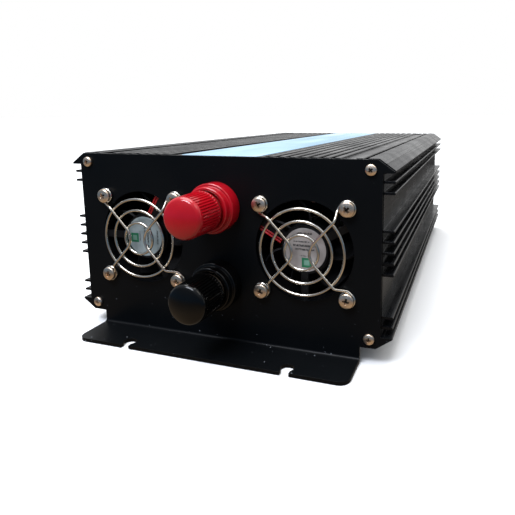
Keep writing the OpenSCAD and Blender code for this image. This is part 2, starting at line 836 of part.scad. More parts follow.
pad_z = board_top + 8;
pad_y = board_front + 12;
pad_x = 20;
red_route = [lug_point(0, 9 + barrel_l), [15.4, lug_y + 6.4, mid + 1], [16.6, lug_y + 12, mid - 9],
    [17.4, lug_y + 22, mid - 17], [19, pad_y - 10, pad_z + 9], [pad_x, pad_y - 3, pad_z + 6],
    [pad_x, pad_y - 0.4, pad_z + 3], [pad_x, pad_y, pad_z]];
black_route = [lug_point(1, 9 + barrel_l), [-16, lug_y + 6.8, mid + 2], [-17, lug_y + 13, mid + 6],
    [-18, lug_y + 23, mid + 2], [-19, pad_y - 9, mid - 9], [-20, pad_y - 3, pad_z + 12],
    [-pad_x, pad_y - 0.4, pad_z + 4], [-pad_x, pad_y, pad_z]];

module red_dc_cable() {
    color("red") tube(red_route, cable_d, 10, 3);
}

module black_dc_cable() {
    color("black") tube(black_route, cable_d, 10, 3);
}

// ---------- circuit board ----------

board_hole_x = board_half_w - 10.5;
board_hole_y = [board_front + 6, 0, board_rear - 6];

module main_board() {
    color("darkgreen") difference() {
        block([-board_half_w, board_front, board_z], [board_half_w, board_rear, board_top]);
        for (s = [-1, 1], y = board_hole_y) translate([s * board_hole_x, y, board_z - 1]) cylinder(h = 4, r = 1.7);
    }
}

module board_standoffs() {
    color("goldenrod") for (s = [-1, 1], y = board_hole_y) translate([s * board_hole_x, y, floor_z]) difference() {
        cylinder(h = standoff_h, r = 3, $fn = 6);
        translate([0, 0, 1]) cylinder(h = standoff_h, r = 1.55);
    }
}

module board_screws() {
    color(nickel) for (s = [-1, 1], y = board_hole_y) translate([s * board_hole_x, y, board_top]) {
        cylinder(h = 1.8, r = 2.7);
        translate([0, 0, -6]) cylinder(h = 6 + e, r = 1.5);
    }
}

module board_terminals() {
    color("goldenrod") for (s = [-1, 1]) block([s * pad_x - 6, pad_y - 6, board_top], [s * pad_x + 6, pad_y + 6, pad_z]);
}

transformer_y = [for (i = [0 : 2]) board_front + 56 + 52 * i];   // clear of the input capacitors
transformer_x = -30;
core_w = 42;
core_h = 36;
core_d = 15;

module transformer_cores() {
    color("dimgray") for (y = transformer_y) translate([transformer_x, y, board_top + 3]) difference() {
        block([-core_w / 2, -core_d / 2, 0], [core_w / 2, core_d / 2, core_h]);
        for (s = [-1, 1]) block([s * 10.5 - 4.5, -core_d, 6], [s * 10.5 + 4.5, core_d, core_h - 6]);
    }
}

// Bobbin and winding round the centre leg, with its pins' ledge on the board.
module transformer_windings() {
    color("gold") for (y = transformer_y) translate([transformer_x, y, board_top + 3]) {
        difference() {
            block([-14.8, -core_d / 2 - 8, 6.2], [14.8, core_d / 2 + 8, core_h - 6.2]);
            block([-6, -core_d / 2 - 0.1, 5], [6, core_d / 2 + 0.1, core_h]);
            for (s = [-1, 1]) block([s * 16 - 1.1, -core_d / 2 - 0.1, 5], [s * 16 + 1.1, core_d / 2 + 0.1, core_h]);
        }
        for (s = [-1, 1]) block([-14, s * (core_d / 2 + 4.2) - 3.6, -3], [14, s * (core_d / 2 + 4.2) + 3.6, 6.3]);
    }
}

input_cap_x = [44, 60, 76];
input_cap_y = [board_front + 14, board_front + 31];
module electrolytic(r, h) {
    cylinder(h = h - 0.8, r = r);
    translate([0, 0, h - 0.8 - e]) cylinder(h = 0.8, r1 = r, r2 = r - 0.8);
}

module input_capacitors() {
    color("navy") for (s = [-1, 1], x = input_cap_x, y = input_cap_y)
        translate([s * x, y, board_top]) electrolytic(6.4, 25);
}

module bus_capacitors() {
    color([0.1, 0.1, 0.2]) for (y = [62, 100]) translate([32, y, board_top]) electrolytic(15, 46);
}

mosfet_z = board_top + 9;
mosfet_body_h = 9;
mosfet_tab_h = 15;
clamp_bar_z0 = mosfet_z + 1;

// Power transistors stand along both side walls, their tabs against the thermal pads.
module power_transistors() {
    x0 = inner_x - pad_t;
    color([0.15, 0.15, 0.15]) for (s = [-1, 1], y = mosfet_y) mirror([s < 0 ? 1 : 0, 0, 0]) {
        block([x0 - mosfet_t, y - mosfet_w / 2, mosfet_z], [x0 - 1.2, y + mosfet_w / 2, mosfet_z + mosfet_body_h]);
        block([x0 - 1.3, y - mosfet_w / 2, mosfet_z], [x0, y + mosfet_w / 2, mosfet_z + mosfet_tab_h]);
        for (k = [-1, 0, 1]) block([x0 - 3, y + k * 2.54 - 0.4, board_top],
            [x0 - 2.4, y + k * 2.54 + 0.4, mosfet_z + e]);
    }
}

module thermal_pads() {
    color("lightgray") for (s = [-1, 1]) mirror([s < 0 ? 1 : 0, 0, 0])
        block([inner_x - pad_t, mosfet_y[0] - 9, mosfet_z - 1], [inner_x, mosfet_y[7] + 9, mosfet_z + mosfet_tab_h + 1]);
}

clamp_screw_y = [mosfet_y[0] + 11, -11, mosfet_y[7] - 11];
function clamp_screw_z(s) = mid - s * seam - rail_h / 2 - 0.4;
bar_x = rail_x - bar_t;

// Flat springs screwed to the lower rail press the transistors on to the wall.
module transistor_clamps() {
    color("lightgray") for (s = [-1, 1]) difference() {
        mirror([s < 0 ? 1 : 0, 0, 0]) {
            block([bar_x, mosfet_y[0] - 10, clamp_bar_z0 + 8], [rail_x, mosfet_y[7] + 10, mid - s * seam - 0.4]);
            for (y = mosfet_y) block([bar_x, y - 4, clamp_bar_z0], [rail_x, y + 4, clamp_bar_z0 + 8.1]);
        }
        for (y = clamp_screw_y) translate([s * (bar_x - 1), y, clamp_screw_z(s)]) rotate([0, s * 90, 0])
            cylinder(h = bar_t + 2, r = 1.7);
    }
}

module clamp_screws() {
    color(nickel) for (s = [-1, 1], y = clamp_screw_y) translate([s * bar_x, y, clamp_screw_z(s)])
        rotate([0, s * 90, 0]) {
            cylinder(h = 6, r = 1.2);
            translate([0, 0, -2]) cylinder(h = 2, r = 2.8);
        }
}

fuse_y = [for (i = [0 : 5]) board_front + 52 + i * 14];
module blade_fuses() {
    color("orange") for (y = fuse_y) translate([14, y, board_top]) {
        block([-9.5, -1.8, 5], [9.5, 1.8, 17]);
        for (s = [-1, 1]) block([s * 6.5 - 2.6, -0.4, 0], [s * 6.5 + 2.6, 0.4, 5 + e]);
    }
}

// Wound ring core standing on the board.
module output_choke() {
    color(copper) translate([-34, 84, board_top]) {
        translate([0, 0, 1]) difference() {
            cylinder(h = 18, r = 21);
            translate([0, 0, -1]) cylinder(h = 20, r = 9);
        }
        for (a = [0 : 15 : 345]) rotate([0, 0, a]) translate([21 - e, -0.9, 1]) cube([1.2, 1.8, 18]);
        translate([0, 0, 0]) difference() {
            cylinder(h = 1 + e, r = 18);
            translate([0, 0, -1]) cylinder(h = 4, r = 12);
        }
    }
}

module control_board() {
    color("green") {
        block([46, -60, board_top], [47.6, 36, board_top + 34]);
        for (y = [-44, -16, 12]) block([47.6 - e, y, board_top + 12], [51, y + 18, board_top + 19]);
    }
}

// ---------- rear panel fittings ----------

// Grounded outlet: square flanged face outside the panel, body and terminals behind it.
module outlet(x) {
    y_face = rear + 2.4;
    difference() {
        union() {
            section_y(rear, 2.4) translate([x, outlet_z]) round_rect(outlet_s, outlet_s, 3);
            block([x - outlet_hole / 2 + 0.2, rear - 24, outlet_z - outlet_hole / 2 + 0.2],
                [x + outlet_hole / 2 - 0.2, rear + e, outlet_z + outlet_hole / 2 - 0.2]);
        }
        for (s = [-1, 1]) block([x + s * 6.35 - 1, rear - 14, outlet_z - (s < 0 ? 4.2 : 3.4)],
            [x + s * 6.35 + 1, y_face + 1, outlet_z + (s < 0 ? 4.2 : 3.4)]);
        rod_y(x, rear - 14, outlet_z - 11.5, 20, 2.5);
    }
}

module left_outlet() {
    color(plastic_black) outlet(-outlet_x);
}

module right_outlet() {
    color(plastic_black) outlet(outlet_x);
}

rocker_w = 14;
rocker_half_l = 9.6;
rocker_room = rocker_half_l + 1.6;       // half the well's height
rocker_y = rear - 4;

module switch_body() {
    color(plastic_black) difference() {
        union() {
            section_y(rear, 1.8) translate([0, switch_z]) round_rect(switch_w + 4, switch_h + 4, 1.5);
            block([-switch_w / 2, rear - 20, switch_z - switch_h / 2], [switch_w / 2, rear + e, switch_z + switch_h / 2]);
        }
        block([-rocker_w / 2 - 0.4, rear - 13, switch_z - rocker_room], [rocker_w / 2 + 0.4, rear + 3, switch_z + rocker_room]);
        translate([-switch_w / 2 + 1, rocker_y, switch_z]) rotate([0, 90, 0]) cylinder(h = switch_w - 2, r = 1.25);
    }
}

// Rocker seen from its pivot: two faces that meet in a shallow V, off side pressed in.
module switch_rocker() {
    color("firebrick") translate([0, rocker_y, switch_z]) rotate([rocker_tilt, 0, 0]) {
        translate([-rocker_w / 2, 0, 0]) rotate([90, 0, 90]) linear_extrude(rocker_w)
            polygon([[6.4, -rocker_half_l], [5.2, 0], [6.4, rocker_half_l], [3.6, rocker_half_l],
                [-3, 3], [-3, -3], [3.6, -rocker_half_l]]);
        translate([-switch_w / 2 + 1.3, 0, 0]) rotate([0, 90, 0]) cylinder(h = switch_w - 2.6, r = 1.2);
    }
}

lamp_body_l = 7;                         // the lamp's wider body, up against the panel
module indicator_lamps() {
    color("limegreen") for (x = lamp_x) {
        rod_y(x, rear - 8, lamp_z, 9.4, 2.5);
        translate([x, rear + 1.4, lamp_z]) sphere(2.5);
        rod_y(x, inner_rear - lamp_body_l, lamp_z, lamp_body_l, 3.2);
    }
}

module ground_stud() {
    color("goldenrod") {
        rod_y(0, rear - 10, ground_z, 18, 2);
        hex_y(0, rear, ground_z, 3, 4.2);
        hex_y(0, rear - sheet - 3, ground_z, 3, 4.2);
    }
}

ac_wire_d = 2.6;
wire_y = rear - 24;                      // back of the outlets, where their terminals are
ac_pad_y = board_rear - 12;
// Outer, inner and earth terminal of the right-hand outlet, each with its route from the board.
ac_routes = [
    [[6, ac_pad_y, board_top], [6, ac_pad_y, board_top + 15], [20, wire_y - 24, mid + 2], [48, wire_y - 17, mid + 8],
     [62, wire_y - 10, outlet_z + 6], [outlet_x + 6.35, wire_y - 5, outlet_z], [outlet_x + 6.35, wire_y, outlet_z]],
    [[11, ac_pad_y, board_top], [11, ac_pad_y, board_top + 11], [24, wire_y - 24, mid - 10], [41, wire_y - 16, mid - 7],
     [50, wire_y - 10, outlet_z], [outlet_x - 6.35, wire_y - 5, outlet_z], [outlet_x - 6.35, wire_y, outlet_z]],
    [[16, ac_pad_y, board_top], [16, ac_pad_y, board_top + 7], [28, wire_y - 25, board_top + 14],
     [46, wire_y - 15, outlet_z - 15], [56, wire_y - 9, outlet_z - 12.5], [outlet_x, wire_y - 5, outlet_z - 11.5],
     [outlet_x, wire_y, outlet_z - 11.5]]
];
ac_colours = ["brown", "blue", "green"];
ac_colours_left = ["blue", "brown", "green"];

// Live, neutral and earth from the board to each outlet.
module ac_wires() {
    for (i = [0 : 2]) {
        color(ac_colours[i]) tube(ac_routes[i], ac_wire_d, 8, 2);
        color(ac_colours_left[i]) mirror([1, 0, 0]) tube(ac_routes[i], ac_wire_d, 8, 2);
    }
}

// ---------- nodes ----------

upper_housing();
lower_housing();
front_panel();
rear_panel();
top_label();
front_corner_screws();
rear_corner_screws();
left_fan_guard();
right_fan_guard();
left_fan_screws();
right_fan_screws();
left_fan_nuts();
right_fan_nuts();
left_fan_frame();
right_fan_frame();
left_fan_stator();
right_fan_stator();
left_fan_rotor();
right_fan_rotor();
left_fan_label();
right_fan_label();
left_fan_leads();
right_fan_leads();
red_terminal_base();
black_terminal_base();
red_terminal_stud();
black_terminal_stud();
red_clamp_washer();
black_clamp_washer();
red_knob_insert();
black_knob_insert();
red_knob();
black_knob();
stud_insulators();
cable_lugs();
stud_nuts();
red_dc_cable();
black_dc_cable();
main_board();
board_standoffs();
board_screws();
board_terminals();
transformer_cores();
transformer_windings();
input_capacitors();
bus_capacitors();
power_transistors();
thermal_pads();
transistor_clamps();
clamp_screws();
blade_fuses();
output_choke();
control_board();
left_outlet();
right_outlet();
switch_body();
switch_rocker();
indicator_lamps();
ground_stud();
ac_wires();
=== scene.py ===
from math import atan2, cos, hypot, pi, radians, sin, tau

import bmesh
import bpy
from mathutils import Matrix, Vector


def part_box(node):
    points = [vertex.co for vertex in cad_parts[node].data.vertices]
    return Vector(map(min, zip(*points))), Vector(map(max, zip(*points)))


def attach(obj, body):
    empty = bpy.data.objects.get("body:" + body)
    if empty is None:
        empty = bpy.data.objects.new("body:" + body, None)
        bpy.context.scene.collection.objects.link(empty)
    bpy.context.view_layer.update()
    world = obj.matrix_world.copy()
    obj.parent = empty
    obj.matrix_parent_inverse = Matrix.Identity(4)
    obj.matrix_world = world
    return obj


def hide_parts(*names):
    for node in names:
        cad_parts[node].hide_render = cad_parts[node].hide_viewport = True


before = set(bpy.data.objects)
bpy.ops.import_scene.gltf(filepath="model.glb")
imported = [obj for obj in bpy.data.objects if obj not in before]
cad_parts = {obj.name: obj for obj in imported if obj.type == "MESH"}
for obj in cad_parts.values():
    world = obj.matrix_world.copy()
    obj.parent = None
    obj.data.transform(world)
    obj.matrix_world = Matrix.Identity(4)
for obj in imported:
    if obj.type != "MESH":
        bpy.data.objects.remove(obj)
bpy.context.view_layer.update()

MM = 0.001
scene = bpy.context.scene


def node_mm(name):
    """Lowest and highest corner of a CAD node, in millimetres."""
    low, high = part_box(name)
    return low / MM, high / MM


# ---------- places and sizes, from the CAD parts ------

fan_low, fan_high = node_mm("right_fan_frame")
INNER_FRONT = fan_low.y
SHEET = 2.0
FRONT = INNER_FRONT - SHEET
REAR = -FRONT
FAN_X = (fan_low.x + fan_high.x) / 2
MID_Z = (fan_low.z + fan_high.z) / 2
FAN_HOLE = 25.0
TERMINALS = {"red": None, "black": None}
for side in TERMINALS:
    low, high = node_mm(side + "_knob")
    TERMINALS[side] = {"z": (low.z + high.z) / 2, "front": low.y, "skirt": high.y,
                       "radius": (high.x - low.x) / 2}


# ---------- camera ----------

CAMERA_PLACE = Vector((138.5, FRONT - 245.2, 134.2)) * MM
CAMERA_AIM = Vector((-0.318, 0.9347, -0.1585))
CAMERA_ROLL = radians(-0.4)

camera_data = bpy.data.cameras.new("camera")
camera_data.sensor_width = 36.0
camera_data.lens = 34.18
camera_data.shift_x = -0.0967
camera_data.shift_y = -0.1243
camera_data.clip_start = 0.01
camera = bpy.data.objects.new("camera", camera_data)
scene.collection.objects.link(camera)
camera.matrix_world = (
    Matrix.Translation(CAMERA_PLACE)
    @ CAMERA_AIM.to_track_quat("-Z", "Y").to_matrix().to_4x4()
    @ Matrix.Rotation(CAMERA_ROLL, 4, "Z")
)
scene.camera = camera
scene.view_settings.view_transform = "Standard"


# ---------- materials ----------

def linear(colour):
    """An sRGB hex colour as linear RGBA."""
    parts = [int(colour[i:i + 2], 16) / 255 for i in (1, 3, 5)]
    return (*[c / 12.92 if c <= 0.04045 else ((c + 0.055) / 1.055) ** 2.4 for c in parts], 1.0)


def add(tree, kind, values=None, links=None, **settings):
    """Adds a shader node: its properties, its input values by name, and the outputs that feed its inputs."""
    node = tree.nodes.new("ShaderNode" + kind)
    for key, value in settings.items():
        setattr(node, key, value)
    sockets = [i for i in node.inputs if i.enabled]
    for key, value in (values or {}).items():
        socket = sockets[key] if isinstance(key, int) else next(i for i in sockets if i.name == key)
        socket.default_value = value
    for key, source in (links or {}).items():
        socket = sockets[key] if isinstance(key, int) else next(i for i in sockets if i.name == key)
        tree.links.new(source, socket)
    return node


def surface(name, colour, roughness, metallic=0.0, **values):
    """A material on one Principled shader: the material, its tree, the shader and Object coordinates."""
    material = bpy.data.materials.new(name)
    material.use_nodes = True
    tree = material.node_tree
    shader = tree.nodes["Principled BSDF"]
    shader.inputs["Base Color"].default_value = linear(colour)
    shader.inputs["Roughness"].default_value = roughness
    shader.inputs["Metallic"].default_value = metallic
    for key, value in values.items():
        shader.inputs[key.replace("_", " ")].default_value = value
    place = add(tree, "TexCoord").outputs["Object"]
    return material, tree, shader, place


def per_mm(size):
    """Texture scale whose features are about this many millimetres across."""
    return 1.0 / (size * MM)


def stops(ramp, *pairs):
    """Sets a ramp's colours: pairs of position and hex colour."""
    elements = ramp.color_ramp.elements
    while len(elements) < len(pairs):
        elements.new(0.5)
    for element, (position, colour) in zip(elements, pairs):
        element.position = position
        element.color = linear(colour)
    return ramp.outputs["Color"]


def mottled(name, dark, light, roughness, size, depth=0.0, lie=(1.0, 1.0, 1.0), **values):
    """A finish whose shine and relief wander over size millimetres, and its colour more broadly."""
    material, tree, shader, place = surface(name, light, roughness, **values)
    laid = add(tree, "Mapping", {"Scale": lie}, {"Vector": place}).outputs["Vector"]
    fine = add(tree, "TexNoise", {"Scale": per_mm(size), "Detail": 3.0}, {"Vector": laid}).outputs["Fac"]
    broad = add(tree, "TexNoise", {"Scale": per_mm(size * 9), "Detail": 3.0}, {"Vector": laid}).outputs["Fac"]
    drift = add(tree, "ValToRGB", links={"Fac": broad})
    shine = add(tree, "MapRange", {"From Min": 0.3, "From Max": 0.7, "To Min": roughness * 0.85,
                                   "To Max": roughness * 1.2}, {"Value": fine})
    relief = add(tree, "Bump", {"Strength": 1.0, "Distance": depth * MM}, {"Height": fine})
    tree.links.new(stops(drift, (0.3, dark), (0.7, light)), shader.inputs["Base Color"])
    tree.links.new(shine.outputs["Result"], shader.inputs["Roughness"])
    if depth:
        tree.links.new(relief.outputs["Normal"], shader.inputs["Normal"])
    return material


# Extruded aluminium, black anodised: a satin near-black with fine die lines along its length.
def black_anodised_extrusion():
    material, tree, shader, place = surface("black_anodised_extrusion", "#0b0c0e", 0.3,
                                            Specular_IOR_Level=0.17)
    along = add(tree, "Mapping", {"Scale": (1.0, 0.008, 1.0)}, {"Vector": place}).outputs["Vector"]
    lines = add(tree, "TexNoise", {"Scale": per_mm(0.7), "Detail": 5.0}, {"Vector": along}).outputs["Fac"]
    cloud = add(tree, "TexNoise", {"Scale": per_mm(24), "Detail": 4.0}, {"Vector": place}).outputs["Fac"]
    both = add(tree, "Math", {1: 0.5}, {0: lines, 2: cloud}, operation="MULTIPLY_ADD").outputs["Value"]
    shine = add(tree, "MapRange", {"From Min": 0.55, "From Max": 0.95, "To Min": 0.22, "To Max": 0.36},
                {"Value": both})
    tree.links.new(shine.outputs["Result"], shader.inputs["Roughness"])
    drift = add(tree, "ValToRGB", links={"Fac": lines})
    tree.links.new(stops(drift, (0.3, "#060709"), (0.75, "#0e0f11")), shader.inputs["Base Color"])
    relief = add(tree, "Bump", {"Strength": 0.7, "Distance": 0.012 * MM}, {"Height": lines})
    tree.links.new(relief.outputs["Normal"], shader.inputs["Normal"])
    return material


# Sheet steel, black powder coat: low sheen over a fine orange peel, with specks of dust that thicken in the
# lowest 30 mm.
def black_powder_coat():
    material, tree, shader, place = surface("black_powder_coat", "#0a0b0d", 0.36, Specular_IOR_Level=0.13)
    peel = add(tree, "TexNoise", {"Scale": per_mm(1.1), "Detail": 3.0}, {"Vector": place}).outputs["Fac"]
    relief = add(tree, "Bump", {"Strength": 1.0, "Distance": 0.012 * MM}, {"Height": peel})
    tree.links.new(relief.outputs["Normal"], shader.inputs["Normal"])
    cloud = add(tree, "TexNoise", {"Scale": per_mm(35), "Detail": 5.0}, {"Vector": place}).outputs["Fac"]
    shine = add(tree, "MapRange", {"From Min": 0.3, "From Max": 0.7, "To Min": 0.3, "To Max": 0.44},
                {"Value": cloud})
    tree.links.new(shine.outputs["Result"], shader.inputs["Roughness"])
    height = add(tree, "SeparateXYZ", links={"Vector": place}).outputs["Z"]
    low_down = add(tree, "MapRange", {"From Min": 30 * MM, "From Max": 4 * MM, "To Min": 0.02, "To Max": 0.8},
                   {"Value": height}).outputs["Result"]
    dust = None
    for apart, size, shift in ((4.0, 0.05, 0.0), (7.0, 0.05, 3.1)):
        moved = add(tree, "Mapping", {"Location": (shift, shift, shift)}, {"Vector": place}).outputs["Vector"]
        cells = add(tree, "TexVoronoi", {"Scale": per_mm(apart)}, {"Vector": moved})
        near = add(tree, "Math", {1: size}, {0: cells.outputs["Distance"]}, operation="LESS_THAN")
        dot = near.outputs["Value"]
        if dust is not None:
            dot = add(tree, "Math", links={0: dust, 1: dot}, operation="MAXIMUM").outputs["Value"]
        dust = dot
    settled = add(tree, "Math", links={0: dust, 1: low_down}, operation="MULTIPLY").outputs["Value"]
    colour = add(tree, "ValToRGB", links={"Fac": settled})
    tree.links.new(stops(colour, (0.0, "#080a0c"), (1.0, "#8d9197")), shader.inputs["Base Color"])
    return material


# Silver polyester sticker on the motor: plain grey bars and a green square stand for its print.
def motor_sticker(name, centre_x, turn, silver, shade):
    material, tree, shader, place = surface(name, silver, 0.4, 0.2)
    centred = add(tree, "Mapping", {"Location": (-centre_x * MM, 0, -MID_Z * MM)}, {"Vector": place})
    turned = add(tree, "Mapping", {"Rotation": (0, turn, 0), "Scale": (1 / MM, 1 / MM, 1 / MM)},
                 {"Vector": centred.outputs["Vector"]})
    axes = add(tree, "SeparateXYZ", links={"Vector": turned.outputs["Vector"]})
    x, z = axes.outputs["X"], axes.outputs["Z"]

    def box(middle_x, middle_z, half_x, half_z):
        """1 inside a rectangle of the sticker, in millimetres from its centre, and 0 outside."""
        sides = []
        for value, middle, half in ((x, middle_x, half_x), (z, middle_z, half_z)):
            away = add(tree, "Math", {1: middle}, {0: value}, operation="SUBTRACT").outputs["Value"]
            size = add(tree, "Math", links={0: away}, operation="ABSOLUTE").outputs["Value"]
            sides.append(add(tree, "Math", {1: half}, {0: size}, operation="LESS_THAN").outputs["Value"])
        return add(tree, "Math", links={0: sides[0], 1: sides[1]}, operation="MULTIPLY").outputs["Value"]

    soften = add(tree, "TexNoise", {"Scale": per_mm(0.8), "Detail": 2.0}, {"Vector": place}).outputs["Fac"]
    broken = add(tree, "Math", {1: 0.46}, {0: soften}, operation="GREATER_THAN").outputs["Value"]
    bars = None
    rows = ((9.4, 4.5, 0.5), (4.6, 6.4, 0.4), (2.4, 6.8, 0.6), (0.2, 5.6, 0.5), (-3.4, 3.0, 0.2))
    for middle, half, thick in rows:
        bar = box(0.0, middle, half, thick)
        if bars is not None:
            bar = add(tree, "Math", links={0: bars, 1: bar}, operation="MAXIMUM").outputs["Value"]
        bars = bar
    bars = add(tree, "Math", links={0: bars, 1: broken}, operation="MULTIPLY").outputs["Value"]
    cloud = add(tree, "TexNoise", {"Scale": per_mm(5), "Detail": 3.0}, {"Vector": place}).outputs["Fac"]
    ground = add(tree, "ValToRGB", links={"Fac": cloud})
    printed = add(tree, "Mix", {"B": linear("#26292c")},
                  {"Factor": bars, "A": stops(ground, (0.3, shade), (0.7, silver))}, data_type="RGBA")
    square = box(1.2, -7.2, 2.9, 2.8)
    ringed = box(1.2, -7.2, 1.6, 1.5)
    green = add(tree, "Mix", {"B": linear("#2b7f5a")}, {"Factor": square, "A": printed.outputs[2]},
                data_type="RGBA")
    pale = add(tree, "Mix", {"B": linear("#7fae9a")}, {"Factor": ringed, "A": green.outputs[2]},
               data_type="RGBA")
    tree.links.new(pale.outputs[2], shader.inputs["Base Color"])
    return material


# Printed polyester film: pale sky blue with soft white streaks, glossy.
def sky_film():
    material, tree, shader, place = surface("sky_film", "#9fd0ea", 0.28, Coat_Weight=0.3, Coat_Roughness=0.2)
    streak = add(tree, "Mapping", {"Scale": (1.0, 0.18, 1.0)}, {"Vector": place}).outputs["Vector"]
    cloud = add(tree, "TexNoise", {"Scale": per_mm(26), "Detail": 5.0, "Roughness": 0.5}, {"Vector": streak})
    drift = add(tree, "ValToRGB", links={"Fac": cloud.outputs["Fac"]})
    streaks = stops(drift, (0.34, "#4f90b8"), (0.52, "#7fb2cf"), (0.7, "#b4d2e2"))
    tree.links.new(streaks, shader.inputs["Base Color"])
    return material


# Fibreglass circuit board under green solder mask, with the copper's pattern just showing.
def solder_mask():
    material, tree, shader, place = surface("solder_mask", "#0f4a2a", 0.35, Coat_Weight=0.3)
    tracks = add(tree, "TexVoronoi", {"Scale": per_mm(5)}, {"Vector": place}, distance="CHEBYCHEV")
    shade = add(tree, "ValToRGB", links={"Fac": tracks.outputs["Distance"]})
    tree.links.new(stops(shade, (0.35, "#0c3b22"), (0.42, "#17603a")), shader.inputs["Base Color"])
    weave = add(tree, "TexNoise", {"Scale": per_mm(0.7), "Detail": 2.0}, {"Vector": place}).outputs["Fac"]
    shine = add(tree, "MapRange", {"From Min": 0.3, "From Max": 0.7, "To Min": 0.28, "To Max": 0.45},
                {"Value": weave})
    tree.links.new(shine.outputs["Result"], shader.inputs["Roughness"])
    return material


ANODISED = black_anodised_extrusion()
POWDER = black_powder_coat()
SKY_FILM = sky_film()
BOARD = solder_mask()
STICKER_LEFT = motor_sticker("motor_sticker_left", -FAN_X, radians(-90), "#b0bcbe", "#98a8aa")
STICKER_RIGHT = motor_sticker("motor_sticker_right", FAN_X, 0.0, "#c6c0bc", "#aea6a2")

# Bright nickel plate over drawn wire: mirror-like, softened by faint draw marks, warm in its shade.
NICKEL_WIRE = mottled("nickel_plated_wire", "#cfc4b2", "#e6e2da", 0.2, 1.6, 0.008, metallic=1.0)
# Nickel-plated steel screws: bright, with tumbling marks and a faint warm cast.
NICKEL_SCREW = mottled("nickel_plated_screw", "#dcc2a4", "#f2e4d6", 0.3, 0.6, 0.014, metallic=1.0)
# Floor of a cross recess: painted shade, a dull dark metal that stands in for the shadow deep in the recess.
PAINTED_SHADE_RECESS = mottled("painted_shade_screw_recess", "#1d1a17", "#39332c", 0.5, 0.4, 0.01, metallic=0.6)
# Zinc plate: a duller, bluish grey metal.
ZINC = mottled("zinc_plated_steel", "#9b9ea1", "#c5c7c6", 0.38, 1.2, 0.01, metallic=1.0)
# Turned brass: yellow, with fine rings left by the lathe and a little tarnish.
BRASS = mottled("turned_brass", "#a8813c", "#d2ad62", 0.28, 0.5, 0.008, lie=(1.0, 0.15, 1.0), metallic=1.0)
# Hot-tinned copper: a soft grey shine.
TIN = mottled("tinned_copper", "#a6a39c", "#c9c6bf", 0.34, 0.8, 0.01, metallic=1.0)
# Enamelled copper wire: orange-brown and glossy, its turns showing as fine lines round the coil.
COPPER = mottled("enamelled_copper", "#7c3516", "#b8612f", 0.3, 0.9, 0.12, lie=(1.0, 0.25, 1.0), metallic=1.0)
# Mill-finish aluminium: pale grey with rolling lines.
MILL_ALUMINIUM = mottled("mill_aluminium", "#b0b2b4", "#cfd0d1", 0.36, 0.6, 0.008, lie=(1.0, 0.1, 1.0),
                         metallic=1.0)
# Gloss-moulded ABS of the terminals: deep colour under a clean shine.
RED_ABS = mottled("glossy_red_abs", "#a50b19", "#b80e1d", 0.14, 1.5, 0.002, Specular_IOR_Level=0.4,
                  Coat_Weight=0.35, Coat_Roughness=0.06)
BLACK_ABS = mottled("glossy_black_abs", "#050505", "#080808", 0.14, 1.5, 0.002, Specular_IOR_Level=0.28)
# Fan mouldings in black PBT: matt, with a sparked skin.
FAN_PBT = mottled("moulded_fan_pbt", "#060607", "#0b0b0d", 0.5, 0.5, 0.012, Specular_IOR_Level=0.25)
# Nylon of the switch and outlets: satin black with a fine moulded grain.
SWITCH_NYLON = mottled("moulded_switch_nylon", "#0c0c0d", "#151517", 0.42, 0.5, 0.015, Specular_IOR_Level=0.4)
OUTLET_NYLON = mottled("moulded_outlet_nylon", "#0e0e0f", "#18181a", 0.36, 0.6, 0.01, Specular_IOR_Level=0.45)
# PVC wire insulation: satin and slightly soft.
RED_PVC = mottled("red_pvc_insulation", "#a3141b", "#bd2228", 0.4, 0.6, 0.01)
BLACK_PVC = mottled("black_pvc_insulation", "#0a0a0b", "#141416", 0.4, 0.6, 0.01)
BLUE_PVC = mottled("blue_pvc_insulation", "#173a84", "#20499c", 0.4, 0.6, 0.01)
BROWN_PVC = mottled("brown_pvc_insulation", "#4a2615", "#5c321d", 0.4, 0.6, 0.01)
GREEN_PVC = mottled("green_pvc_insulation", "#1c6b2e", "#28813c", 0.4, 0.6, 0.01)
# Sintered ferrite: dark grey and dull, like fired clay.
FERRITE = mottled("sintered_ferrite", "#1c1c1e", "#2c2c2f", 0.7, 0.3, 0.02)
# Yellow polyester tape round the transformer windings, wrinkled where it laps.
TAPE = mottled("polyester_tape", "#c29a1e", "#d9b535", 0.3, 2.0, 0.05)
# Shrink sleeve of the capacitors: dark blue and shiny.
SLEEVE = mottled("capacitor_shrink_sleeve", "#0b1030", "#141b45", 0.28, 2.5, 0.01)
# Moulded epoxy of the transistors: matt black with a gritty mould finish.
EPOXY = mottled("moulded_epoxy", "#121213", "#1d1d1f", 0.6, 0.25, 0.015)
# Silicone heat pad: soft light grey.
SILICONE = mottled("silicone_pad", "#8c8f94", "#a1a4a8", 0.75, 0.5, 0.02)
# Translucent orange nylon of the fuses.
FUSE = mottled("orange_fuse_nylon", "#c2570f", "#d96d18", 0.25, 1.5, 0.005)
# Glossy red rocker with marks in white paint.
ROCKER_RED = mottled("glossy_red_rocker", "#96101a", "#ad1822", 0.25, 1.5, 0.004)
MARK_WHITE = mottled("white_mark_paint", "#d8d8d6", "#e8e8e6", 0.45, 0.3, 0.006)
# Dyed acrylic lamp lenses, clear enough to catch light inside.
GREEN_LENS = mottled("green_acrylic_lens", "#1e9a40", "#33b85a", 0.14, 1.2, 0.006, Transmission_Weight=0.3)
RED_LENS = mottled("red_acrylic_lens", "#b01c22", "#d02e33", 0.14, 1.2, 0.006, Transmission_Weight=0.3)


# ---------- mesh helpers (bmesh in millimetres) ----------

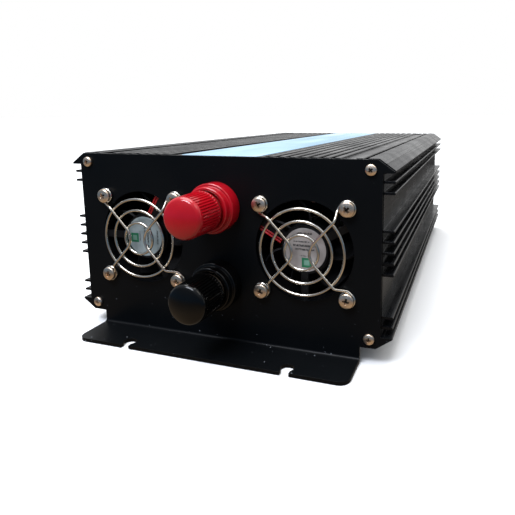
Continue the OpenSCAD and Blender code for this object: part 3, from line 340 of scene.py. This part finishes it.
def finished(bm, name, body, materials, sharp=40.0):
    """Turns a bmesh in millimetres into a piece that rides on a CAD body."""
    bmesh.ops.remove_doubles(bm, verts=bm.verts, dist=1e-4)
    bmesh.ops.recalc_face_normals(bm, faces=bm.faces)
    bmesh.ops.scale(bm, vec=(MM, MM, MM), verts=bm.verts)
    mesh = bpy.data.meshes.new(name)
    bm.to_mesh(mesh)
    bm.free()
    for material in materials if isinstance(materials, (list, tuple)) else [materials]:
        mesh.materials.append(material)
    mesh.shade_smooth()
    mesh.set_sharp_from_angle(angle=radians(sharp))
    piece = bpy.data.objects.new(name, mesh)
    scene.collection.objects.link(piece)
    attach(piece, body)
    return piece


def soft_edges(piece, width, segments=2, angle=40.0):
    """Rounds a piece's edges by width mm, keeping its flat faces flat."""
    bevel = piece.modifiers.new("soft_edges", "BEVEL")
    bevel.width = width * MM
    bevel.segments = segments
    bevel.limit_method = "ANGLE"
    bevel.angle_limit = radians(angle)
    bevel.harden_normals = True
    return piece


def lathe(profile, steps=96, closed=False):
    """A shape turned round the Y axis from (radius, y) points."""
    bm = bmesh.new()
    verts = [bm.verts.new((r, y, 0.0)) for r, y in profile]
    edges = [bm.edges.new(pair) for pair in zip(verts, verts[1:])]
    if closed:
        edges.append(bm.edges.new((verts[-1], verts[0])))
    bmesh.ops.spin(bm, geom=verts + edges, cent=(0, 0, 0), axis=(0, 1, 0), angle=tau, steps=steps,
                   use_merge=True)
    bmesh.ops.remove_doubles(bm, verts=bm.verts, dist=1e-4)
    return bm


def arc(cx, cy, radius, start, end, n=6):
    """Points of an arc in the (radius, y) plane, angles in degrees."""
    return [(cx + radius * cos(radians(start + (end - start) * i / n)),
             cy + radius * sin(radians(start + (end - start) * i / n))) for i in range(n + 1)]


def join(bm, other, matrix=None):
    """Adds another bmesh's faces, moved by a matrix, and frees it."""
    if matrix is not None:
        bmesh.ops.transform(other, matrix=matrix, verts=other.verts)
    mesh = bpy.data.meshes.new("part")
    other.to_mesh(mesh)
    other.free()
    bm.from_mesh(mesh)
    bpy.data.meshes.remove(mesh)


def carved(bm, cutters):
    """bm with each cutter's shape taken out of it."""
    holders = []
    for shape in [bm] + cutters:
        bmesh.ops.recalc_face_normals(shape, faces=shape.faces)
        mesh = bpy.data.meshes.new("carve")
        shape.to_mesh(mesh)
        shape.free()
        holder = bpy.data.objects.new("carve", mesh)
        scene.collection.objects.link(holder)
        holders.append(holder)
    for cutter in holders[1:]:
        cut = holders[0].modifiers.new("cut", "BOOLEAN")
        cut.object = cutter
        cut.operation = "DIFFERENCE"
        cut.solver = "EXACT"
    result = bmesh.new()
    result.from_object(holders[0], bpy.context.evaluated_depsgraph_get())
    for holder in holders:
        mesh = holder.data
        bpy.data.objects.remove(holder)
        bpy.data.meshes.remove(mesh)
    return result


def wire(path, radius, sides=12, closed=False):
    """A round wire along a path of points."""
    curve = bpy.data.curves.new("wire", "CURVE")
    curve.dimensions = "3D"
    curve.bevel_depth = radius
    curve.bevel_resolution = (sides - 4) // 2
    curve.use_fill_caps = True
    spline = curve.splines.new("POLY")
    spline.points.add(len(path) - 1)
    for point, place in zip(spline.points, path):
        point.co = (*place, 1.0)
    spline.use_cyclic_u = closed
    holder = bpy.data.objects.new("wire", curve)
    mesh = bpy.data.meshes.new_from_object(holder)
    bm = bmesh.new()
    bm.from_mesh(mesh)
    bpy.data.objects.remove(holder)
    bpy.data.curves.remove(curve)
    bpy.data.meshes.remove(mesh)
    return bm


def smoothed(path, step, passes):
    """The path resampled at about step mm and relaxed, which rounds its corners."""
    points = []
    for a, b in zip(path, path[1:]):
        n = max(1, round((b - a).length / step))
        points += [a.lerp(b, i / n) for i in range(n)]
    points.append(path[-1])
    for _ in range(passes):
        points = ([points[0]] + [(p + q * 2 + r) / 4 for p, q, r in zip(points, points[1:], points[2:])]
                  + [points[-1]])
    return points


def softened(node, width, material, body="housing", name=None, angle=40.0, segments=2, islands=None):
    """A copy of a CAD node with merged faces and rounded edges, which stands for the node."""
    bm = bmesh.new()
    bm.from_mesh(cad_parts[node].data)
    bmesh.ops.scale(bm, vec=(1 / MM, 1 / MM, 1 / MM), verts=bm.verts)
    bmesh.ops.remove_doubles(bm, verts=bm.verts, dist=2e-3)
    bmesh.ops.dissolve_limit(bm, angle_limit=radians(0.4), verts=bm.verts, edges=bm.edges)
    if islands:
        paint_islands(bm, islands)
    piece = finished(bm, name or node + "_finish", body, material, angle)
    if width:
        soft_edges(piece, width, segments, angle)
    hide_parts(node)
    return piece


def paint_islands(bm, order):
    """Gives each separate solid a material index: order(centre) names it."""
    left = set(bm.faces)
    while left:
        island, front = set(), [next(iter(left))]
        while front:
            face = front.pop()
            if face in island:
                continue
            island.add(face)
            front += [f for edge in face.edges for f in edge.link_faces if f not in island]
        left -= island
        centre = sum((f.calc_center_median() for f in island), Vector()) / len(island)
        index = order(centre)
        for face in island:
            face.material_index = index


# ---------- housing and end panels ----------

for shell in ("upper_housing", "lower_housing"):
    softened(shell, 0.22, ANODISED)
for panel in ("front_panel", "rear_panel"):
    softened(panel, 0.3, POWDER)


def top_film():
    """The label film on the flat strip of the top, with round corners."""
    low, high = node_mm("top_label")
    bm = bmesh.new()
    bmesh.ops.create_cube(bm, size=1.0)
    bmesh.ops.scale(bm, vec=high - low, verts=bm.verts)
    bmesh.ops.translate(bm, vec=(low + high) / 2, verts=bm.verts)
    uprights = [e for e in bm.edges if abs(e.verts[0].co.z - e.verts[1].co.z) > 0.1]
    bmesh.ops.bevel(bm, geom=uprights, offset=3.0, offset_type="OFFSET", segments=6, profile=0.5,
                    affect="EDGES", material=-1)
    piece = finished(bm, "top_film", "housing", SKY_FILM)
    soft_edges(piece, 0.06)
    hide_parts("top_label")


top_film()


# ---------- screws ----------

def cross_cutters(span, width, depth, y0):
    """Two crossed blades for a cross recess, tapered, its mouth at y0 and its point towards +Y."""
    blades = []
    for turn in (0, 90):
        blade = bmesh.new()
        bmesh.ops.create_cube(blade, size=1.0)
        bmesh.ops.scale(blade, vec=(span, depth + 1.0, width), verts=blade.verts)
        bmesh.ops.translate(blade, vec=(0, (depth - 1.0) / 2, 0), verts=blade.verts)
        tip = [v for v in blade.verts if v.co.y > 0]
        bmesh.ops.scale(blade, vec=(0.45, 1.0, 0.7), verts=tip)
        turned = Matrix.Rotation(radians(turn), 3, "Y")
        bmesh.ops.rotate(blade, cent=(0, 0, 0), matrix=turned, verts=blade.verts)
        bmesh.ops.translate(blade, vec=(0, y0, 0), verts=blade.verts)
        blades.append(blade)
    return blades


def pan_screw(head_r, head_h, shank_r, shank_l):
    """A pan-head screw with a cross recess: the head's seat at y = 0, the shank along +Y."""
    crown = 0.16 * head_h
    profile = (
        [(0.0, -head_h), (head_r * 0.45, -head_h + crown * 0.25)]
        + arc(head_r - 1.0, -head_h + 1.0 + crown, 1.0, -75, 0, 6)
        + [(head_r, -0.15), (head_r - 0.15, 0.0), (shank_r, 0.0), (shank_r, shank_l - 0.4),
           (shank_r - 0.4, shank_l), (0.0, shank_l)]
    )
    head = lathe(profile, 48)
    head = carved(head, cross_cutters(head_r * 1.2, head_r * 0.32, head_h * 0.7, -head_h))
    # Faces on the floor and walls of the cross recess take slot 1, the painted shade.
    for face in head.faces:
        middle = face.calc_center_median()
        if hypot(middle.x, middle.z) < head_r * 0.62 and crown * 1.5 - head_h < middle.y < -0.1:
            face.material_index = 1
    return head


def screw_group(name, node, places, seat, end, head_r, head_h, shank_r, material, facing=1):
    """A group of equal screws at (x, z) places, each turned a different way, for one CAD node."""
    pattern = pan_screw(head_r, head_h, shank_r, end - seat)
    group = bmesh.new()
    for i, (x, z) in enumerate(places):
        turn = Matrix.Rotation(radians(17 + 41 * i), 4, "Y")
        join(group, pattern.copy(), Matrix.Translation((x, seat, z)) @ turn)
    pattern.free()
    if facing < 0:
        bmesh.ops.rotate(group, cent=(0, 0, 0), matrix=Matrix.Rotation(pi, 3, "Z"), verts=group.verts)
    # Slot 1 is the painted shade in the cross recesses.
    piece = finished(group, name, "housing", [material, PAINTED_SHADE_RECESS], 30)
    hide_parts(node)
    return piece


corner_low, corner_high = node_mm("front_corner_screws")
CORNER_R = 3.1
CORNER_HEAD = 2.1
CORNER_SHANK_R = 1.4
corner_x = corner_high.x - CORNER_R
corner_z = ((corner_high.z - corner_low.z) / 2 - CORNER_R, (corner_high.z + corner_low.z) / 2)
corner_places = [(sx * corner_x, corner_z[1] + sz * corner_z[0]) for sx in (-1, 1) for sz in (-1, 1)]
for end, facing in (("front", 1), ("rear", -1)):
    screw_group(end + "_corner_screw_set", end + "_corner_screws", corner_places, FRONT, corner_high.y,
                CORNER_R, CORNER_HEAD, CORNER_SHANK_R, NICKEL_SCREW, facing)

FAN_SCREW_R = 4.3
FAN_SCREW_HEAD = 2.4
FAN_SHANK_R = 1.9
fan_screw_low, fan_screw_high = node_mm("right_fan_screws")
guard_seat = fan_screw_low.y + FAN_SCREW_HEAD
hole_offsets = [(sx * FAN_HOLE, sz * FAN_HOLE) for sx in (-1, 1) for sz in (-1, 1)]
for side, x0 in (("left", -FAN_X), ("right", FAN_X)):
    places = [(x0 + dx, MID_Z + dz) for dx, dz in hole_offsets]
    screw_group(side + "_fan_screw_set", side + "_fan_screws", places, guard_seat, fan_screw_high.y,
                FAN_SCREW_R, FAN_SCREW_HEAD, FAN_SHANK_R, NICKEL_SCREW)
    softened(side + "_fan_nuts", 0.25, ZINC)


# ---------- fan guards ----------

WIRE_R = 0.8
RING_RADII = (9.7, 17.4, 24.2)
RING_STEPS = 120
EYE_R = 4.1
EYE_SWEEP = 295
RING_Y = FRONT - 3.4
SPOKE_Y = RING_Y - 2 * WIRE_R + 0.15
EYE_Y = FRONT - WIRE_R - 0.05
VERTEX = Vector((6.5, 5.0))
VERTEX_IN = Vector((5.1, 1.6))
EYE_LEAD = 3.7
EYE_REACH = 9.0


def arm(sx, sz):
    """The wire from a screw eye's free end to the spoke's bend, in one quarter of the guard."""
    screw = Vector((sx * FAN_HOLE, sz * FAN_HOLE))
    bend = Vector((sx * VERTEX.x, sz * VERTEX.y))
    way = (screw - bend).normalized()
    first = atan2(way.x, -way.y)
    loop = [screw + EYE_R * Vector((cos(first - radians(a)), sin(first - radians(a))))
            for a in range(EYE_SWEEP, -1, -5)]
    path = [Vector((p.x, EYE_Y, p.y)) for p in loop]
    step = loop[-1] - (loop[-1] - bend).normalized() * EYE_LEAD
    path.append(Vector((step.x, EYE_Y, step.y)))
    out = screw - way * EYE_REACH
    path.append(Vector((out.x, SPOKE_Y, out.y)))
    path.append(Vector((bend.x, SPOKE_Y, bend.y)))
    path.append(Vector((sx * VERTEX_IN.x, SPOKE_Y, sz * VERTEX_IN.y)))
    return path


def fan_guard(side, x0):
    """Three rings, two bent spokes in front of them, and a small ball of weld at each crossing."""
    guard = bmesh.new()
    for radius in RING_RADII:
        ring = [Vector((radius * cos(tau * i / RING_STEPS), RING_Y, radius * sin(tau * i / RING_STEPS)))
                for i in range(RING_STEPS)]
        join(guard, wire(ring, WIRE_R, 14, closed=True))
    for sx in (-1, 1):
        spoke = smoothed(arm(sx, 1) + arm(sx, -1)[::-1], 0.45, 7)
        join(guard, wire(spoke, WIRE_R, 14))
        for radius in RING_RADII:
            for p in spoke:
                if abs(hypot(p.x, p.z) - radius) < 0.23 and abs(p.x) > 4.5:
                    weld = bmesh.new()
                    bmesh.ops.create_icosphere(weld, subdivisions=2, radius=WIRE_R * 0.95)
                    join(guard, weld, Matrix.Translation((p.x, (RING_Y + SPOKE_Y) / 2, p.z)))
    bmesh.ops.translate(guard, vec=(x0, 0, MID_Z), verts=guard.verts)
    piece = finished(guard, side + "_guard_wires", "housing", NICKEL_WIRE, 60)
    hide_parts(side + "_fan_guard")


for side, x0 in (("left", -FAN_X), ("right", FAN_X)):
    fan_guard(side, x0)


# ---------- fans ----------

BLADES = 7
rotor_high = node_mm("right_fan_rotor")[1]


def blade(n_radius=12, n_chord=8):
    """One swept, twisted blade, from the hub to just inside the duct."""
    bm = bmesh.new()
    bmesh.ops.create_grid(bm, x_segments=n_radius, y_segments=n_chord, size=0.5)
    root, tip = 14.0, 27.5
    depth_root, depth_tip = 15.0, 17.5
    for v in bm.verts:
        u, w = v.co.x + 0.5, v.co.y
        r = root + (tip - root) * u
        chord = radians(44 - 6 * u)
        lean = radians(14 * u * u)
        angle = lean + w * chord
        depth = (depth_root + (depth_tip - depth_root) * u) * (w + 0.12 * (1 - 4 * w * w))
        v.co = (r * cos(angle), depth, r * sin(angle))
    bmesh.ops.recalc_face_normals(bm, faces=bm.faces)
    bmesh.ops.solidify(bm, geom=bm.faces[:], thickness=1.1)
    return bm


def fan_rotor(side, x0):
    """Hub cup, rounded at its rear edge, with seven blades."""
    front, rear = INNER_FRONT + 3.2, rotor_high.y
    hub_r = 14.6
    profile = (
        [(0.0, rear - 1.6), (hub_r - 1.6, rear - 1.6), (hub_r - 1.6, front)]
        + [(hub_r, front)] + arc(hub_r - 1.2, rear - 1.2, 1.2, 0, 90, 6) + [(0.0, rear)]
    )
    rotor = lathe(profile, 96)
    middle = (front + rear) / 2
    for i in range(BLADES):
        join(rotor, blade(), Matrix.Rotation(tau * i / BLADES, 4, "Y") @ Matrix.Translation((0, middle, 0)))
    shaft_front, shaft_rear, shaft_r = INNER_FRONT + 3.1, rear - 1.0, 1.5
    shaft = lathe([(0.0, shaft_front), (shaft_r, shaft_front), (shaft_r, shaft_rear), (0.0, shaft_rear)], 24)
    join(rotor, shaft)
    bmesh.ops.translate(rotor, vec=(x0, 0, MID_Z), verts=rotor.verts)
    piece = finished(rotor, side + "_rotor_blades", side + "_rotor", FAN_PBT)
    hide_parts(side + "_fan_rotor")


def motor_label(side, x0, material):
    """The thin round sticker on the motor base."""
    low, high = node_mm(side + "_fan_label")
    radius = (high.x - low.x) / 2
    disc = lathe([(0.0, low.y), (radius - 0.05, low.y), (radius, low.y + 0.05), (radius, high.y),
                  (0.0, high.y)], 72)
    bmesh.ops.translate(disc, vec=(x0, 0, MID_Z), verts=disc.verts)
    piece = finished(disc, side + "_motor_sticker", "housing", material)
    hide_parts(side + "_fan_label")


def lead_colour(x0):
    """The red lead lies nearer the strut, and so further from the other at the board's end."""
    return lambda centre: 0 if (centre.x > leads_middle[x0]) == (x0 < 0) else 1


leads_middle = {}
for side, x0, sticker in (("left", -FAN_X, STICKER_LEFT), ("right", FAN_X, STICKER_RIGHT)):
    fan_rotor(side, x0)
    motor_label(side, x0, sticker)
    softened(side + "_fan_frame", 0.35, FAN_PBT)
    low, high = node_mm(side + "_fan_leads")
    bm = bmesh.new()
    bm.from_mesh(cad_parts[side + "_fan_leads"].data)
    leads_middle[x0] = sum((v.co.x for v in bm.verts), 0.0) / len(bm.verts) / MM
    bm.free()
    softened(side + "_fan_leads", 0, [RED_PVC, BLACK_PVC], angle=60,
             islands=lead_colour(x0))


# ---------- DC terminals ----------

FLUTES = 44
FLUTE_DEPTH = 0.8
STEPS_PER_FLUTE = 10
RIM = 1.2
SMOOTH_END = 4.6
EDGE_R = 3.0
EDGE_SLOPE = radians(22)


def knob(side, material):
    """A fluted cap with a smooth rim at its skirt and a softly rounded, crowned end."""
    place = TERMINALS[side]
    length, radius = place["skirt"] - place["front"], place["radius"]
    tip_r = radius - 0.35
    crown_r = tip_r - EDGE_R * (1 - sin(EDGE_SLOPE))
    crown = crown_r * EDGE_SLOPE / 2
    edge_y = -length + crown + EDGE_R * cos(EDGE_SLOPE)
    flute_start, flute_end = -RIM, -length + SMOOTH_END
    rows = [-RIM - (length - RIM - SMOOTH_END) * i / 24 for i in range(25)]
    profile = (
        [(0.0, -0.8), (radius - 2.4, -0.8), (radius - 2.2, 0.0)]
        + arc(radius - 0.5, -0.5, 0.5, 90, 0, 4)
        + [(radius - 0.35 * (y / -length), y) for y in rows]
        + arc(tip_r - EDGE_R, edge_y, EDGE_R, 0, -(90 - EDGE_SLOPE * 180 / pi), 10)
        + [(crown_r * f, -length + crown * f * f) for f in (0.8, 0.6, 0.4, 0.2, 0.0)]
    )
    bm = lathe(profile, FLUTES * STEPS_PER_FLUTE)
    for v in bm.verts:
        r = hypot(v.co.x, v.co.z)
        if r < tip_r - 0.2 or not flute_end < v.co.y < flute_start:
            continue
        fade = min(1.0, (flute_start - v.co.y) / 0.5, (v.co.y - flute_end) / 1.3)
        wave = max(0.0, (cos(FLUTES * atan2(v.co.z, v.co.x)) - 0.1) / 0.9)
        kept = 1 - FLUTE_DEPTH * fade ** 0.5 * wave ** 0.8 / r
        v.co.x *= kept
        v.co.z *= kept
    bmesh.ops.translate(bm, vec=(0, place["skirt"], place["z"]), verts=bm.verts)
    piece = finished(bm, side + "_knob_cap", side + "_knob", material, 50)
    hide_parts(side + "_knob")


def terminal_base(side, material):
    """Moulded insulator: a wide flange, then a collar with a rounded lip and a cup for the washer."""
    z = TERMINALS[side]["z"]
    low, high = node_mm(side + "_terminal_base")
    flange_r = (high.x - low.x) / 2
    lip, step = low.y, low.y + 4.6
    collar_r, cup_r = flange_r - 1.5, flange_r - 3.3
    profile = (
        [(4.05, lip + 2.6), (cup_r, lip + 2.6)]
        + arc(cup_r + 0.45, lip + 0.45, 0.45, 180, 270, 4)
        + arc(collar_r - 0.8, lip + 0.8, 0.8, -90, 0, 6)
        + [(collar_r, step - 0.9)]
        + arc(collar_r + 0.25, step - 0.35, 0.35, 180, 90, 3)
        + arc(flange_r - 0.7, step + 0.7, 0.7, -90, 0, 5)
        + [(flange_r, FRONT), (6.0, FRONT), (6.0, high.y), (4.05, high.y)]
    )
    bm = lathe(profile, 128, closed=True)
    bmesh.ops.translate(bm, vec=(0, 0, z), verts=bm.verts)
    piece = finished(bm, side + "_terminal_moulding", "housing", material, 50)
    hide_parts(side + "_terminal_base")


for side, material, slot in (("red", RED_ABS, "red_plastic"), ("black", BLACK_ABS, "black_plastic")):
    knob(side, material)
    terminal_base(side, material)
    softened(side + "_clamp_washer", 0.3, NICKEL_SCREW, body=side + "_washer")
    softened(side + "_knob_insert", 0.3, BRASS, body=side + "_knob")
    softened(side + "_terminal_stud", 0.3, BRASS)
    softened(side + "_dc_cable", 0, RED_PVC if side == "red" else BLACK_PVC, angle=60)


# ---------- AC end ----------

ROCKER_Y = REAR - 4.0
ROCKER_Z = sum(v.z for v in node_mm("switch_rocker")) / 2
ROCKER_TILT = radians(10)
MARK_RELIEF = 0.12


def rocker_marks():
    """The on bar and the off ring, thin raised paint on the rocker's two pads."""
    marks = bmesh.new()
    bar = bmesh.new()
    bmesh.ops.create_cube(bar, size=1.0)
    bmesh.ops.scale(bar, vec=(0.7, 2 * MARK_RELIEF, 3.4), verts=bar.verts)
    join(marks, bar, Matrix.Translation((0, 5.86, 5.4)) @ Matrix.Rotation(radians(-7), 4, "X"))
    ring = lathe([(1.3, -MARK_RELIEF), (1.9, -MARK_RELIEF), (1.9, MARK_RELIEF), (1.3, MARK_RELIEF)], 40,
                 closed=True)
    join(marks, ring, Matrix.Translation((0, 5.86, -5.4)) @ Matrix.Rotation(radians(7), 4, "X"))
    bmesh.ops.rotate(marks, cent=(0, 0, 0), matrix=Matrix.Rotation(ROCKER_TILT, 3, "X"), verts=marks.verts)
    bmesh.ops.translate(marks, vec=(0, ROCKER_Y, ROCKER_Z), verts=marks.verts)
    finished(marks, "rocker_marks", "rocker", MARK_WHITE)


for side in ("left", "right"):
    softened(side + "_outlet", 0.35, OUTLET_NYLON)
softened("switch_body", 0.3, SWITCH_NYLON)
softened("switch_rocker", 0.35, ROCKER_RED, body="rocker")
rocker_marks()
softened("ground_stud", 0.2, BRASS)
softened("indicator_lamps", 0.1, [GREEN_LENS, RED_LENS],
         islands=lambda centre: 0 if centre.x > 0 else 1)
softened("ac_wires", 0, [BROWN_PVC, BLUE_PVC, GREEN_PVC], angle=60,
         islands=lambda centre: 2 if centre.z < 41 else (0 if centre.z > 56 else 1))


# ---------- inside ----------

INSIDE = {
    "stud_insulators": (FAN_PBT, "black_moulding"), "cable_lugs": (TIN, "tinned_copper"),
    "stud_nuts": (BRASS, "brass"), "main_board": (BOARD, "circuit_board"),
    "board_standoffs": (BRASS, "brass"), "board_screws": (ZINC, "zinc_steel"),
    "board_terminals": (BRASS, "brass"), "transformer_cores": (FERRITE, "ferrite"),
    "transformer_windings": (TAPE, "winding_tape"), "input_capacitors": (SLEEVE, "capacitor_sleeve"),
    "bus_capacitors": (SLEEVE, "capacitor_sleeve"), "power_transistors": (EPOXY, "epoxy"),
    "thermal_pads": (SILICONE, "silicone_pad"), "transistor_clamps": (MILL_ALUMINIUM, "mill_aluminium"),
    "clamp_screws": (ZINC, "zinc_steel"), "blade_fuses": (FUSE, "fuse_plastic"),
    "output_choke": (COPPER, "copper_wire"), "control_board": (BOARD, "circuit_board"),
    "left_fan_stator": (COPPER, "copper_wire"), "right_fan_stator": (COPPER, "copper_wire"),
}
for node, (material, slot) in INSIDE.items():
    softened(node, 0.2, material)


# ---------- floor and light ----------

def aimed(place, aim):
    """A turn and place that points a lamp at aim."""
    way = Vector(aim) - Vector(place)
    return Matrix.Translation(place) @ way.to_track_quat("-Z", "Y").to_matrix().to_4x4()


def pale_floor():
    """A plain pale floor that shiny faces do not mirror."""
    bm = bmesh.new()
    bmesh.ops.create_grid(bm, x_segments=1, y_segments=1, size=30.0)
    bmesh.ops.translate(bm, vec=(0, 0, -0.0003), verts=bm.verts)
    mesh = bpy.data.meshes.new("floor")
    bm.to_mesh(mesh)
    bm.free()
    material, tree, shader, place = surface("studio_floor", "#f7f7f6", 0.8, Specular_IOR_Level=0.1)
    mesh.materials.append(material)
    floor = bpy.data.objects.new("floor", mesh)
    floor.visible_glossy = False
    floor.visible_diffuse = False
    scene.collection.objects.link(floor)


def lamps():
    """A broad soft sun from above and two soft boxes that draw the highlights."""
    sun = bpy.data.lights.new("overhead", "SUN")
    sun.energy = 2.7
    sun.angle = radians(50)
    boxes = {
        "top_front": ((-0.15, -0.75, 0.95), (0, -0.2, 0.08), 11.0, "#eef3ff", (0.6, 0.35)),
        "right_high": ((0.9, -0.2, 1.2), (0.1, 0, 0.05), 2.5, "#fff4e6", (0.6, 0.6)),
    }
    holder = bpy.data.objects.new("overhead", sun)
    holder.matrix_world = aimed((-0.3, 0.35, 2.0), (0, 0, 0))
    scene.collection.objects.link(holder)
    for name, (place, aim, energy, colour, size) in boxes.items():
        box = bpy.data.lights.new(name, "AREA")
        box.energy = energy
        box.color = linear(colour)[:3]
        box.shape = "RECTANGLE"
        box.size, box.size_y = size
        holder = bpy.data.objects.new(name, box)
        holder.matrix_world = aimed(place, aim)
        scene.collection.objects.link(holder)


def surroundings():
    """White to the eye; what the surfaces mirror is a bright wall behind and a dim room in front."""
    world = bpy.data.worlds.new("studio_world")
    scene.world = world
    world.use_nodes = True
    tree = world.node_tree
    tree.nodes.clear()
    direction = add(tree, "TexCoord").outputs["Generated"]
    axes = add(tree, "SeparateXYZ", links={"Vector": direction})
    height = add(tree, "MapRange", {"From Min": -1.0, "From Max": 1.0}, {"Value": axes.outputs["Z"]})
    behind = add(tree, "MapRange", {"From Min": -0.15, "From Max": 0.45}, {"Value": axes.outputs["Y"]})
    room = {
        "front": ((0.2, "#b0987c"), (0.38, "#756c63"), (0.47, "#4b6e8e"), (0.62, "#6a7888"),
                  (1.0, "#e8eef8")),
        "back": ((0.2, "#a8a097"), (0.36, "#8b8680"), (0.46, "#3c3c3e"), (0.52, "#ffffff"), (1.0, "#f2f5fa")),
    }
    seen = {}
    for name, colours in room.items():
        seen[name] = stops(add(tree, "ValToRGB", links={"Fac": height.outputs["Result"]}), *colours)
    both = add(tree, "Mix", links={"Factor": behind.outputs["Result"], "A": seen["front"], "B": seen["back"]},
               data_type="RGBA")
    glow = add(tree, "Background", links={"Color": both.outputs[2]})
    white = add(tree, "Background", {"Color": (1, 1, 1, 1)})
    to_eye = add(tree, "LightPath").outputs["Is Camera Ray"]
    mix = add(tree, "MixShader",
              links={0: to_eye, 1: glow.outputs["Background"], 2: white.outputs["Background"]})
    add(tree, "OutputWorld", links={"Surface": mix.outputs["Shader"]})


pale_floor()
lamps()
surroundings()
